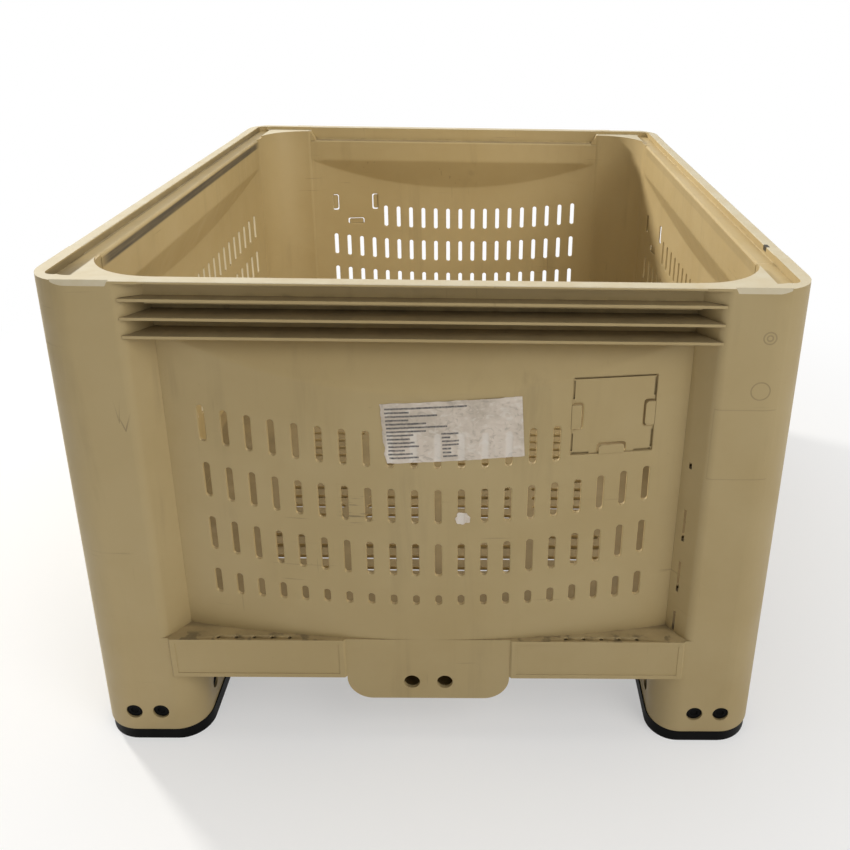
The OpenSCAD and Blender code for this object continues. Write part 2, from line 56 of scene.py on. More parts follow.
# Sizes of the CAD model that the walls and papers follow, in millimetres
HALF_W, HALF_D, BIN_H = 500.0, 600.0, 740.0
POST_W, RECESS_D, BOW_D, WALL_T = 146.0, 36.0, 35.7, 6.0
FRONT_HALF, SIDE_HALF = HALF_W - POST_W, HALF_D - POST_W
FLOOR_Z, PLATE_Z, LIP_T = 192.0, 733.0, 3.5
SHOULDER_Z, SHOULDER_H = 662.0, 73.0
SLOT_W, SLOT_L, SLOT_PITCH, SLOT_LOW_Z, SLOT_MARGIN = 9.5, 54.5, 31.9, 254.0, 50.0
ROW_COUNT, ROW_TOP_Z, ROW_PITCH, ROW_RISE = 4, 532.5, 87.3, 34.0
FRONT_LIP_W, SIDE_LIP_W, FRONT_LEDGE_Z, SIDE_LEDGE_Z = 22.0, 18.0, 711.0, 728.0
RIB_COUNT, RIB_PITCH, RIB_T, RIB_AIR, RIB_TIP = 3, 25.0, 5.5, 0.3, 1.2
RETURN_R, RETURN_TURN = 18.0, math.degrees(math.atan2(4, 3))
CARD_W, CARD_H, CARD_Z, CARD_MARGIN, CARD_D, CARD_R = 114.0, 115.0, 552.5, 46.0, 3.0, 2.0
TAB_L, TAB_REACH, TAB_SLIT, WINDOW_IN = 35.0, 13.0, 2.5, 0.8
RAMP_L, OVERLAP = 12.0, 1.0
LABEL_W, LABEL_H, LABEL_X, LABEL_Z, LABEL_TURN = 188.0, 90.0, 36.0, 536.0, math.radians(3.6)
STICKER_W, STICKER_X, STICKER_Z, STICKER_TURN = 22.0, 50.0, 400.0, math.radians(8)
PAPER_GAP, PAPER_T = 0.1, 0.4

# Detail that the looks add: lengths in millimetres, counts of steps and points, and shares
RIB_DRAFT = 0.26  # how much thinner a rib's outer edge is than its root
GROOVE_W, GROOVE_D, GROOVE_IN = 2.6, 1.8, 1.9
GROOVE_SIDE, GROOVE_FOOT, GROOVE_GAP = 25.5, 31.0, 3.0  # from the recess's middle, and short of its corner
CREASE, CREASE_CLEAR, CREASE_GAP, CREASE_STEPS = 1.6, 9.0, 1.0, (-6, -3, -1.2, 0, 1.2, 3, 6)
LOW_CREASE_POINTS, HIGH_CREASE_POINTS, HIGH_CREASE_CLEAR = 120, 30, 30.0
GRID, GRID_ROWS, CARD_GRID, CARD_SPREAD, HOLE_CLEAR = 12, 36, 12, 0.46, 3.0
ARC_STEPS, FILLET_STEPS, RIM_STEPS, RETURN_STEPS = 5, 3, 6, 10
SAME_POINT, CLOSE_POINT, AT_EDGE = 1e-6, 1e-5, 0.01
SAG = 0.06  # more than an arc's chords lie inside it
DIP_D, DIP_IN, DIP_SOFT = 0.35, 1.6, 2.4  # how paper sinks over a slot's edge

# Degrees from which an edge is sharp, or under which it is flat, and metres within which points are one
MOULD_SHARP, PRISM_SHARP, PIN_SHARP, PAPER_SHARP, FLAT_ANGLE = 38, 30, 40, 50, 0.6
WELD, PIN_WELD, SEAM_NEAR = 2e-5, 1e-6, 1e-4

SIDES = ("front", "right", "rear", "left")
CORNERS = ("front_left", "front_right", "rear_right", "rear_left")


# Helpers for meshes

def side_matrix(side):
    """From a wall's own frame in millimetres to the bin's frame in metres"""
    reach = HALF_D if side % 2 == 0 else HALF_W
    turn = Matrix.Rotation(math.radians(90 * side), 4, "Z")
    return turn @ Matrix.Scale(MM, 4) @ Matrix.Translation((0, -reach, 0))


def finish_piece(obj, body, node, material):
    """Gives a piece its finish and its body, and hides the CAD node it stands for"""
    obj.data.materials.clear()
    obj.data.materials.append(material)
    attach(obj, body)
    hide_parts(node)


def new_object(name, data):
    obj = bpy.data.objects.new(name, data)
    bpy.context.scene.collection.objects.link(obj)
    return obj


def mesh_from(bm, name):
    """A mesh of a bmesh's form, which is freed"""
    mesh = bpy.data.meshes.new(name)
    bm.to_mesh(mesh)
    bm.free()
    return mesh


def smooth_faces(mesh, angle_deg):
    mesh.polygons.foreach_set("use_smooth", [True] * len(mesh.polygons))
    mesh.set_sharp_from_angle(angle=math.radians(angle_deg))


def weigh_normals(obj):
    weighted = obj.modifiers.new("Weighted normals", "WEIGHTED_NORMAL")
    weighted.keep_sharp = True
    weighted.weight = 80


class Shell:
    """Points in millimetres and faces of one moulding, gathered part by part"""

    def __init__(self):
        self.points, self.faces = [], []

    def add(self, points):
        start = len(self.points)
        self.points.extend(tuple(p) for p in points)
        return list(range(start, len(self.points)))

    def strip(self, near, far):
        """Faces between two closed rings of the same length"""
        n = len(near)
        for i in range(n):
            j = (i + 1) % n
            self.faces.append((near[i], near[j], far[j], far[i]))

    def tube(self, rings):
        for near, far in zip(rings, rings[1:]):
            self.strip(near, far)

    def add_bmesh(self, bm):
        bm.verts.index_update()
        start = len(self.points)
        self.points.extend(tuple(v.co) for v in bm.verts)
        self.faces.extend(tuple(v.index + start for v in f.verts) for f in bm.faces)
        bm.free()

    def to_mesh(self, name, matrix):
        bm = bmesh.new()
        verts = [bm.verts.new(matrix @ Vector(p)) for p in self.points]
        for face in self.faces:
            bm.faces.new([verts[i] for i in face])
        bmesh.ops.recalc_face_normals(bm, faces=bm.faces)
        return mesh_from(bm, name)


def prism(outline, low, high, bevel, axis="z", segments=2):
    """A closed prism of an outline with its sharp edges rounded.
    Axis z extrudes an x, y outline upwards, axis x a y, z outline along the wall, whose ends stay sharp."""
    bm = bmesh.new()

    def place(p, h):
        return (p[0], p[1], h) if axis == "z" else (h, p[0], p[1])
    near = [bm.verts.new(place(p, low)) for p in outline]
    far = [bm.verts.new(place(p, high)) for p in outline]
    bm.faces.new(near[::-1])
    bm.faces.new(far)
    n = len(outline)
    for i in range(n):
        j = (i + 1) % n
        bm.faces.new((near[i], near[j], far[j], far[i]))
    bmesh.ops.recalc_face_normals(bm, faces=bm.faces)
    sharp = [e for e in bm.edges if e.calc_face_angle(0) > math.radians(PRISM_SHARP)]
    if axis == "x":
        sharp = [e for e in sharp if e.verts[0].co.x != e.verts[1].co.x]
    if bevel > 0:
        bmesh.ops.bevel(bm, geom=sharp, offset=bevel, offset_type="OFFSET",
                        segments=segments, profile=0.5, affect="EDGES", clamp_overlap=True)
    return bm


def arc(cx, cy, r, start_deg, end_deg, steps):
    """Points along an arc, both ends included"""
    return [(cx + r * math.cos(a), cy + r * math.sin(a))
            for a in np.radians(np.linspace(start_deg, end_deg, steps + 1))]


def rounded_loop(hole, grow=0.0):
    """Points round a rounded rectangle (x, z, width, height, radius), anticlockwise"""
    cx, cz, w, h, r = hole
    points = []
    for k, (sx, sz) in enumerate(((1, 1), (-1, 1), (-1, -1), (1, -1))):
        ox, oz = cx + sx * (w / 2 - r), cz + sz * (h / 2 - r)
        for p in arc(ox, oz, r + grow, 90 * k, 90 * k + 90, ARC_STEPS):
            if not points or math.dist(p, points[-1]) > SAME_POINT:
                points.append(p)
    if math.dist(points[0], points[-1]) < SAME_POINT:
        points.pop()
    return points


def in_holes(centres, holes, grow):
    """Which points lie inside any of the rounded rectangles"""
    inside = np.zeros(len(centres), bool)
    for cx, cz, w, h, r in holes:
        qx = np.maximum(np.abs(centres[:, 0] - cx) - (w / 2 - r), 0)
        qz = np.maximum(np.abs(centres[:, 1] - cz) - (h / 2 - r), 0)
        inside |= np.hypot(qx, qz) < r + grow
    return inside


def triangulate(border, holes, grow, loose, lines):
    """Triangles of a flat field with holes.
    Returns its points, its triangles, and the point numbers of the border and each hole."""
    coords, edges = [], []

    def put(points, closed):
        start, n = len(coords), len(points)
        coords.extend(Vector(p) for p in points)
        edges.extend((start + i, start + (i + 1) % n) for i in range(n if closed else n - 1))
        return range(start, start + n)
    rings = [put(border, True)]
    rings += [put(rounded_loop(h, grow), True) for h in holes]
    for line in lines:
        put(line, False)
    coords.extend(Vector(p) for p in loose)
    points, _, faces, sources, _, _ = delaunay_2d_cdt(coords, edges, [], 0, CLOSE_POINT)
    where = {s: i for i, group in enumerate(sources) for s in group}
    flat = np.array([tuple(p) for p in points])
    tris = np.array(faces)
    rings = [[where[i] for i in ring] for ring in rings]
    # A triangle with all its corners on one hole's edge fills that hole
    hole_of = np.full(len(flat), -1)
    for k, ring in enumerate(rings[1:]):
        hole_of[ring] = k
    corners = hole_of[tris]
    fills = (corners[:, 0] >= 0) & (corners == corners[:, :1]).all(axis=1)
    kept = tris[~fills & ~in_holes(flat[tris].mean(axis=1), holes, grow - SAG)]
    return flat, kept, rings


# Walls

def soft_max(a, b, blend):
    return (a + b + math.sqrt((a - b) ** 2 + blend * blend)) / 2


class WallForm:
    """The rule that one wall follows: a bowed panel, a sloped shoulder and a straight top"""

    def __init__(self, half_l, lip_w, ledge_z):
        self.half_l, self.lip_w, self.ledge_z = half_l, lip_w, ledge_z
        self.bow_r = (half_l ** 2 + BOW_D ** 2) / (2 * BOW_D)
        self.card_x = half_l - CARD_MARGIN - CARD_W / 2

    def bow_y(self, x):
        return self.bow_r - math.sqrt(self.bow_r ** 2 - x * x)

    def face_y(self, x, z):
        slope = RECESS_D - (SHOULDER_Z - z) * RECESS_D / SHOULDER_H
        upper = -soft_max(-RECESS_D, -slope, CREASE)
        return soft_max(self.bow_y(x), upper, CREASE)

    def shoulder_low_z(self, x):
        """Height of the line where the slope leaves the bowed panel"""
        return SHOULDER_Z - SHOULDER_H * (1 - self.bow_y(x) / RECESS_D)

    def slots(self):
        columns = int(2 * (self.half_l - SLOT_MARGIN) / SLOT_PITCH) + 1
        found = []
        for row in range(ROW_COUNT):
            for i in range(columns):
                x = (i - (columns - 1) / 2) * SLOT_PITCH
                top = ROW_TOP_Z - row * ROW_PITCH + ROW_RISE * (x / self.half_l) ** 2
                low = max(top - SLOT_L, SLOT_LOW_Z)
                beside_card = row == 0 and x > self.card_x - CARD_W / 2 - SLOT_W
                if top - low > SLOT_W and not beside_card:
                    found.append((x, (top + low) / 2, SLOT_W, top - low, SLOT_W / 2))
        return found

    def windows(self):
        """Openings behind the three card tabs"""
        width, length = TAB_REACH + TAB_SLIT - WINDOW_IN, TAB_L + 2 * TAB_SLIT
        side_x = CARD_W / 2 - WINDOW_IN - width / 2
        low_z = CARD_Z - CARD_H / 2 + WINDOW_IN + width / 2
        corner = TAB_REACH / 3
        return [(self.card_x - side_x, CARD_Z, width, length, corner),
                (self.card_x + side_x, CARD_Z, width, length, corner),
                (self.card_x, low_z, length, width, corner)]

    def grooves(self):
        """Narrow grooves along the recess's edges, broken beside the tabs"""
        out_x, out_z, r = CARD_W / 2 - GROOVE_IN, CARD_H / 2 - GROOVE_IN, GROOVE_W / 2
        side_l, foot_l = out_z - GROOVE_GAP - GROOVE_SIDE, out_x - GROOVE_FOOT
        found = [(self.card_x, CARD_Z + out_z, 2 * out_x, GROOVE_W, r)]
        for end in (-1, 1):
            foot_x = self.card_x + end * (GROOVE_FOOT + foot_l / 2)
            found.append((foot_x, CARD_Z - out_z, foot_l, GROOVE_W, r))
            for rise in (-1, 1):
                middle = CARD_Z + rise * (GROOVE_SIDE + side_l / 2)
                found.append((self.card_x + end * out_x, middle, GROOVE_W, side_l, r))
        return found


FORMS = (WallForm(FRONT_HALF, FRONT_LIP_W, FRONT_LEDGE_Z), WallForm(SIDE_HALF, SIDE_LIP_W, SIDE_LEDGE_Z))


def fillet_steps(radius):
    """How far a rounded edge stands out and lies deep, from the face inwards"""
    angles = [math.pi / 2 * i / FILLET_STEPS for i in range(FILLET_STEPS + 1)]
    return [(radius * (1 - math.sin(a)), radius * (1 - math.cos(a))) for a in angles]


def wall_panel(shell, form, edge_r):
    """The slotted panel with rounded slot edges, the card recess and its windows"""
    top_z = form.ledge_z - WALL_T / 2
    half_l = form.half_l
    slots, windows = form.slots(), form.windows()
    recess = (form.card_x, CARD_Z, CARD_W, CARD_H, CARD_R)
    xs = np.linspace(-half_l, half_l, int(half_l / GRID))
    zs = np.linspace(FLOOR_Z, top_z, GRID_ROWS)
    border = [(x, FLOOR_Z) for x in xs] + [(half_l, z) for z in zs[1:]]
    border += [(x, top_z) for x in xs[::-1][1:]] + [(-half_l, z) for z in zs[::-1][1:-1]]
    grid = np.array([(x, z) for x in (xs[1:] + xs[:-1]) / 2 for z in (zs[1:] + zs[:-1]) / 2])
    low_xs = np.linspace(CREASE_CLEAR - half_l, half_l - CREASE_CLEAR, LOW_CREASE_POINTS)
    high_xs = np.linspace(HIGH_CREASE_CLEAR - half_l, half_l - HIGH_CREASE_CLEAR, HIGH_CREASE_POINTS)
    creases = []
    for step in CREASE_STEPS:
        creases.append([(x, min(form.shoulder_low_z(x), SHOULDER_Z - CREASE_GAP) + step) for x in low_xs])
        creases.append([(x, SHOULDER_Z + step) for x in high_xs])
    near_crease = np.array([min(abs(z - form.shoulder_low_z(x)), abs(z - SHOULDER_Z)) < CREASE_CLEAR
                            for x, z in grid])
    loose = grid[~near_crease & ~in_holes(grid, slots, edge_r + HOLE_CLEAR)]

    def lift(flat, depth):
        return shell.add((x, form.face_y(x, z) + depth, z) for x, z in flat)

    def ring(hole, grow, depth):
        return lift(rounded_loop(hole, grow), depth)

    def field(flat, tris, rings, depth):
        start = lift(flat, depth)[0]
        shell.faces.extend(tuple(int(i) + start for i in t) for t in tris)
        return [[i + start for i in points] for points in rings]

    def panel(holes, skip, depth):
        clear = loose[~in_holes(loose, skip, edge_r + HOLE_CLEAR)]
        return field(*triangulate(border, holes, edge_r, clear, creases), depth)
    outer = panel(slots + [recess], [recess], 0.0)
    inner = panel(slots + windows, windows, WALL_T)
    shell.strip(outer[0], inner[0])
    rounding = fillet_steps(edge_r)[1:]
    for slot, first, last in zip(slots, outer[1:], inner[1:]):
        rings = [ring(slot, grow, depth) for grow, depth in rounding]
        rings += [ring(slot, grow, WALL_T - depth) for grow, depth in rounding[::-1]]
        shell.tube([first, *rings, last])

    grooves = form.grooves()
    holes = [(x, z, w + edge_r, h + edge_r, r + edge_r / 2) for x, z, w, h, r in windows] + grooves
    steps = np.linspace(-CARD_SPREAD, CARD_SPREAD, CARD_GRID)
    card = np.array([(form.card_x + u * CARD_W, CARD_Z + v * CARD_H) for u in steps for v in steps])
    card = card[~in_holes(card, holes, HOLE_CLEAR / 2)]
    flat, tris, rings = triangulate(rounded_loop(recess), holes, 0.0, card, [])
    inside = in_holes(flat[tris].mean(axis=1), [recess], AT_EDGE)
    back = field(flat, tris[inside], rings, CARD_D)
    shell.tube([outer[-1], *(ring(recess, grow, depth) for grow, depth in rounding), back[0]])
    for window, first, last in zip(windows, back[1:], inner[1 + len(slots):]):
        rings = [ring(window, 0.0, depth) for depth in (CARD_D + edge_r / 2, WALL_T - edge_r / 2)]
        shell.tube([first, *rings, last])
    for groove, first in zip(grooves, back[1 + len(windows):]):
        low = ring(groove, 0.0, CARD_D + GROOVE_D)
        shell.strip(first, low)
        shell.faces.append(tuple(low))


def wall_rim(shell, form, edge_r):
    """Lip and ledge above the panel, with a ramp at each end of a low ledge"""
    lip, ledge, half_l, inner_y = form.lip_w, form.ledge_z, form.half_l, RECESS_D + WALL_T
    round_r = WALL_T - edge_r
    outline = [(0, BIN_H - LIP_T), (lip - WALL_T, BIN_H - LIP_T), (lip - WALL_T, ledge - WALL_T),
               (inner_y, ledge - WALL_T)]
    outline += arc(inner_y - round_r, ledge - round_r, round_r, 0, 90, RIM_STEPS)
    outline += [(lip, ledge), (lip, BIN_H), (0, BIN_H)]
    shell.add_bmesh(prism(outline, -half_l, half_l, edge_r, "x", 3))
    if ledge >= SIDE_LEDGE_Z:  # a high ledge runs straight into the posts' grooves
        return
    flat = [(half_l, ledge - OVERLAP), (half_l, PLATE_Z), (half_l - RAMP_L, ledge),
            (half_l - RAMP_L, ledge - OVERLAP)]
    for end in (-1, 1):
        near = shell.add((end * x, lip - OVERLAP, z) for x, z in flat)
        far = shell.add((end * x, inner_y, z) for x, z in flat)
        shell.faces += [tuple(near), tuple(far[::-1])]
        shell.strip(near, far)


def wall_ribs(shell, form, edge_r):
    """Flat ribs under the rim, run out along the posts' returns"""
    half_l = form.half_l
    for i in range(1, RIB_COUNT + 1):
        z = BIN_H - i * RIB_PITCH
        meets_lip = z + RIB_T / 2 > form.ledge_z - WALL_T
        back_y = form.lip_w - WALL_T / 2 if meets_lip else RECESS_D + WALL_T / 2
        # From the tip, round the post's edge and down the return's slope, to the rib's back
        edge = arc(half_l + 2 * RETURN_R, RETURN_R, RETURN_R + RIB_AIR, -90, -90 - RETURN_TURN,
                   RETURN_STEPS)
        edge = [p for p in edge if p[1] > RIB_TIP]
        foot_y = min(back_y, RECESS_D - RIB_AIR)
        foot_x = half_l + (RECESS_D - RIB_AIR - foot_y) / math.tan(math.radians(RETURN_TURN))
        right = [(edge[0][0], 0)] + edge + [(foot_x, foot_y)]
        if back_y > foot_y:
            right.append((foot_x, back_y))
        left = [(-x, y) for x, y in right[::-1]]
        rib = prism(right + left, z - RIB_T / 2, z + RIB_T / 2, edge_r, segments=3)
        for v in rib.verts:
            v.co.z = z + (v.co.z - z) * (1 - RIB_DRAFT * max(0, 1 - v.co.y / RECESS_D))
        shell.add_bmesh(rib)


def build_walls(sizes, material):
    edge_r = sizes.edge_r / MM
    shells = []
    for form in FORMS:
        shell = Shell()
        wall_panel(shell, form, edge_r)
        wall_rim(shell, form, edge_r)
        wall_ribs(shell, form, sizes.rib_r / MM)
        shells.append(shell)
    for side, name in enumerate(SIDES):
        node = name + "_wall"
        mesh = shells[side % 2].to_mesh(node, side_matrix(side))
        smooth_faces(mesh, MOULD_SHARP)
        obj = new_object(node + "_moulding", mesh)
        weigh_normals(obj)
        finish_piece(obj, BIN, node, material)


# Mouldings that keep their CAD form

def on_seam(edge):
    """Whether an edge lies where a post joins a wall, which is one moulding in the real bin"""
    return any(all(abs(abs(v.co[axis]) - place) < SEAM_NEAR for v in edge.verts)
               for axis, place in ((0, FRONT_HALF * MM), (1, SIDE_HALF * MM)))


def moulded_copy(node, bevel, segments):
    """A CAD node's form, merged, with its edges rounded"""
    bm = bmesh.new()
    bm.from_mesh(NODES[node].data)
    bmesh.ops.remove_doubles(bm, verts=bm.verts, dist=WELD)
    bmesh.ops.dissolve_limit(bm, angle_limit=math.radians(FLAT_ANGLE), verts=bm.verts, edges=bm.edges)
    bmesh.ops.triangulate(bm, faces=[f for f in bm.faces if len(f.verts) > 4])
    weight = bm.edges.layers.float.new("bevel_weight_edge")
    for edge in bm.edges:
        sharp = edge.calc_face_angle(0) > math.radians(MOULD_SHARP) and edge.calc_length() > bevel / 2
        if sharp and not on_seam(edge):
            edge[weight] = 1.0
    mesh = mesh_from(bm, node + "_moulding")
    if "custom_normal" in mesh.attributes:
        mesh.attributes.remove(mesh.attributes["custom_normal"])
    obj = new_object(node + "_moulding", mesh)
    mesh.polygons.foreach_set("use_smooth", [True] * len(mesh.polygons))
    rounding = obj.modifiers.new("Rounded edges", "BEVEL")
    rounding.width = bevel
    rounding.segments = segments
    rounding.limit_method = "WEIGHT"
    rounding.use_clamp_overlap = True
    rounding.loop_slide = False
    rounding.miter_outer = "MITER_ARC"
    weigh_normals(obj)
    return obj


def build_moulding(node, bevel, body, finish, segments=3):
    finish_piece(moulded_copy(node, bevel, segments), body, node, named_material(finish))


# Node helpers

FLOAT, COLOUR = "NodeSocketFloat", "NodeSocketColor"


class Sketch:
    """Adds nodes to a tree and joins them by their sockets"""

    def __init__(self, tree):
        self.tree = tree

    def add(self, kind, inputs=None, **settings):
        node = self.tree.nodes.new(kind)
        for key, value in settings.items():
            setattr(node, key, value)
        for key, value in (inputs or {}).items():
            if isinstance(value, bpy.types.NodeSocket):
                self.link(value, node.inputs[key])
            else:
                node.inputs[key].default_value = value
        return node

    def link(self, source, target):
        self.tree.links.new(source, target)

    def coords(self):
        return self.add("ShaderNodeTexCoord").outputs["Object"]

    def xyz(self, vector):
        return self.add("ShaderNodeSeparateXYZ", {0: vector}).outputs

    def facing(self):
        """The direction that a face looks in"""
        return self.xyz(self.add("ShaderNodeNewGeometry").outputs["True Normal"])

    def seen(self):
        """1 for what the camera sees, straight, mirrored or through something clear"""
        ray = self.add("ShaderNodeLightPath").outputs
        return self.most(ray["Is Camera Ray"], ray["Is Glossy Ray"], ray["Is Transmission Ray"])

    def attribute(self, name):
        return self.add("ShaderNodeAttribute", attribute_name=name).outputs["Fac"]

    def noise(self, coords, scale, detail=4.0, rough=0.55, distort=0.0):
        return self.add("ShaderNodeTexNoise", {"Vector": coords, "Scale": scale, "Detail": detail,
                                               "Roughness": rough, "Distortion": distort}).outputs["Fac"]

    def mapping(self, coords, scale, turn=(0, 0, 0)):
        return self.add("ShaderNodeMapping", {"Vector": coords, "Scale": scale,
                                              "Rotation": turn}).outputs["Vector"]

    def span(self, value, low, high, to_low=0.0, to_high=1.0, smooth=True):
        kind = "SMOOTHSTEP" if smooth else "LINEAR"
        return self.add("ShaderNodeMapRange", {"Value": value, "From Min": low, "From Max": high,
                                               "To Min": to_low, "To Max": to_high},
                        interpolation_type=kind).outputs["Result"]

    def math(self, operation, a, b=0.0, clamp=False):
        return self.add("ShaderNodeMath", {0: a, 1: b}, operation=operation, use_clamp=clamp).outputs[0]

    def fold(self, operation, values):
        found = values[0]
        for value in values[1:]:
            found = self.math(operation, found, value)
        return found

    def times(self, *values):
        return self.fold("MULTIPLY", values)

    def most(self, *values):
        return self.fold("MAXIMUM", values)

    def minus(self, a, b):
        return self.math("SUBTRACT", a, b)

    def size(self, value):
        return self.math("ABSOLUTE", value)

    def length(self, vector):
        return self.add("ShaderNodeVectorMath", {0: vector}, operation="LENGTH").outputs["Value"]

    def near(self, value, at, half, soft):
        """1 up to half away from a place, and 0 from there on after a soft edge"""
        return self.span(self.size(self.minus(value, at)), half + soft, half)

    def within(self, value, low_out, low_in, high_in, high_out):
        """1 between the two inner values, and 0 outside the outer ones"""
        return self.times(self.span(value, low_out, low_in), self.span(value, high_out, high_in))

    def mix(self, factor, a, b):
        return self.add("ShaderNodeMix", {0: factor, 6: a, 7: b}, data_type="RGBA").outputs[2]

    def blend(self, factor, a, b, out):
        """Ends a tree in a blend of two shaders"""
        both = self.add("ShaderNodeMixShader", {0: factor, 1: a.outputs[0], 2: b.outputs[0]})
        self.link(both.outputs[0], out.inputs["Surface"])


def new_group(name, inputs, outputs):
    """A shader node group with its named sockets: the sketch to fill it, what it is given, and its ends"""
    tree = bpy.data.node_groups.new(name, "ShaderNodeTree")
    for label, value in inputs.items():
        kind = FLOAT if isinstance(value, float) else COLOUR
        tree.interface.new_socket(label, in_out="INPUT", socket_type=kind).default_value = value
    for label, kind in outputs.items():
        tree.interface.new_socket(label, in_out="OUTPUT", socket_type=kind)
    s = Sketch(tree)
    return s, s.add("NodeGroupInput").outputs, s.add("NodeGroupOutput").inputs


def close_group(s, ends, values):
    for label, value in values.items():
        s.link(value, ends[label])
    return s.tree


# Materials

TAN, BLACK, PAPER = "Sun-aged tan plastic", "Black recycled plastic", "Weathered paper"
# The first colour is painted light for the slots' cut faces
SLOT_FACE_LIGHT, RUBBED = (0.74, 0.68, 0.52, 1), (0.06, 0.052, 0.042, 1)
# The first colour is soil, and also paints the shade inside the left lip and its channel
SOIL_AND_SHADE, KNOCKED = (0.06, 0.047, 0.03, 1), (0.02, 0.017, 0.013, 1)
# The two crease colours are crease marks with painted highlight and shade of folds
INK, CREASE_MARK_AND_HIGHLIGHT, CREASE_MARK_AND_SHADE = (0.09, 0.09, 0.095, 1), (0.8, 0.75, 0.68, 1), (0.34, 0.3, 0.25, 1)
OVER_SLOT = (0.86, 0.83, 0.78, 1)
# Heights in metres where the rim's dust sets in and where silt sets in below it
DUST_Z, SILT_Z = (0.7295, 0.732), (0.7205, 0.7185)
# Places of marks in metres: four numbers are a range with soft ends, three a middle, half width and soft edge
SLOT_LIGHT_Z, RIBS_Z = (0.2, 0.21, 0.61, 0.62), (0.6925, 0.027, 0.002)
RUB_X, RUB_Z = (0.4535, 0.4555, 0.461, 0.4635), (0.7075, 0.7115, 0.7215, 0.7245)
# Where the left lip's painted shade and the channel's painted shadow with debris lie
LIP_X, LIP_Z = (-0.4835, -0.4823, -0.4815, -0.4775), (0.7255, 0.7275, 0.737, 0.739)
CHANNEL_X, CHANNEL_Z = (-0.4685, 0.0135, 0.0025), (0.722, 0.725, 0.733, 0.737)
KNOCK_X, KNOCK_Z = (-0.096, 0.008, 0.022), (0.412, 0.012, 0.02)
NICK_X, NICK_Y = (0.4835, 0.0035, 0.001), (-0.4095, 0.006, 0.002)
# Moulder's marks in metres: rings by x, z, radius and half line, V marks by x, z, reach and slope
RINGS = ((0.4403, 0.6737, 0.0082, 0.0005), (0.4403, 0.6737, 0.0038, 0.0006), (0.437, 0.5989, 0.0125, 0.0004))
FLOWS = ((-0.4005, 0.544, 0.04, 8.0), (-0.3935, 0.532, 0.03, 3.0))
# A faint rectangle by its middle's x and z and its half width and height, in metres
BOX_X, BOX_Z, BOX_HALF_W, BOX_HALF_H = 0.4245, 0.5185, 0.0445, 0.0525


def weathering_group():
    """Sun fade, water stains, scuffs and settled dust on a moulded plastic, with painted shade and dirt in
    its corners
    """
    s, given, ends = new_group("Weathered moulding", {
        "Colour": (0.5, 0.4, 0.3, 1), "Faded": (0.7, 0.6, 0.5, 1), "Grime": (0.1, 0.08, 0.05, 1),
        "Dust": (0.6, 0.5, 0.4, 1), "Mottle": 0.5, "Stain": 0.4, "Scuff": 0.4, "Crevice": 0.6,
        "Dusting": 0.5, "Silt": 0.6}, {"Colour": COLOUR, "Roughness": FLOAT, "Height": FLOAT})
    coords, grime_and_shade = s.coords(), given["Grime"]
    # Broad fading
    broad = s.span(s.noise(coords, 3.4, 5.0, 0.6), 0.36, 0.68)
    colour = s.mix(s.times(broad, given["Mottle"]), given["Colour"], given["Faded"])
    # Water stains that run down
    streaks = s.noise(s.mapping(coords, (24, 24, 1.9)), 1.0, 5.0, 0.62, 0.4)
    patches = s.span(s.noise(coords, 5.5, 3.0), 0.42, 0.66)
    colour = s.mix(s.times(s.span(streaks, 0.5, 0.74), patches, given["Stain"]), colour, grime_and_shade)
    # Scuffs: short thin rubs in two directions
    rub_a = s.noise(s.mapping(coords, (7, 7, 150), (0.2, 0.5, 0.3)), 1.0, 3.0, 0.5, 0.2)
    rub_b = s.noise(s.mapping(coords, (130, 120, 6), (0.3, -0.2, 0.4)), 1.0, 3.0, 0.5, 0.2)
    where = s.span(s.noise(coords, 8.0, 2.0), 0.52, 0.7)
    scuff = s.times(s.most(s.span(rub_a, 0.66, 0.74), s.span(rub_b, 0.67, 0.75)), where, given["Scuff"])
    colour = s.mix(scuff, colour, grime_and_shade)
    # Specks
    specks = s.span(s.noise(coords, 210.0, 2.0), 0.73, 0.79)
    colour = s.mix(s.times(specks, given["Stain"], 0.7), colour, grime_and_shade)
    # Painted shade with dirt in the corners, from ambient occlusion
    shade = s.add("ShaderNodeAmbientOcclusion", {"Distance": 0.014}, samples=8).outputs["AO"]
    ragged = s.math("ADD", shade, s.span(s.noise(coords, 38.0, 4.0), 0.2, 0.8, -0.22, 0.22, False))
    crevice_dirt_and_shade = s.times(s.span(ragged, 0.6, 0.2), given["Crevice"])
    colour = s.mix(crevice_dirt_and_shade, colour, grime_and_shade)
    # On what faces up: bleached dust on the rim, silt lower down
    up, height_z = s.facing()["Z"], s.xyz(coords)["Z"]
    ground = s.span(s.noise(coords, 22.0, 5.0, 0.65), 0.25, 0.75, 0.45, 1.0, False)
    dust = s.times(s.span(up, 0.4, 0.62), ground, given["Dusting"], s.span(height_z, *DUST_Z))
    colour = s.mix(dust, colour, given["Dust"])
    silt = s.times(s.span(up, 0.55, 0.95), ground, given["Silt"], s.span(height_z, *SILT_Z))
    colour = s.mix(silt, colour, grime_and_shade)
    # Sheen and skin
    sheen = s.span(s.noise(coords, 16.0, 4.0), 0.3, 0.7, 0.42, 0.58, False)
    rough = s.math("ADD", sheen, s.times(s.most(dust, silt, crevice_dirt_and_shade), 0.3), True)
    skin, ripple = s.noise(coords, 620.0, 2.0, 0.5), s.noise(coords, 46.0, 2.0)
    height = s.math("ADD", s.times(skin, 0.22), s.times(ripple, 0.7))
    height = s.minus(height, s.times(scuff, 0.35))
    return close_group(s, ends, {"Colour": colour, "Roughness": rough, "Height": height})


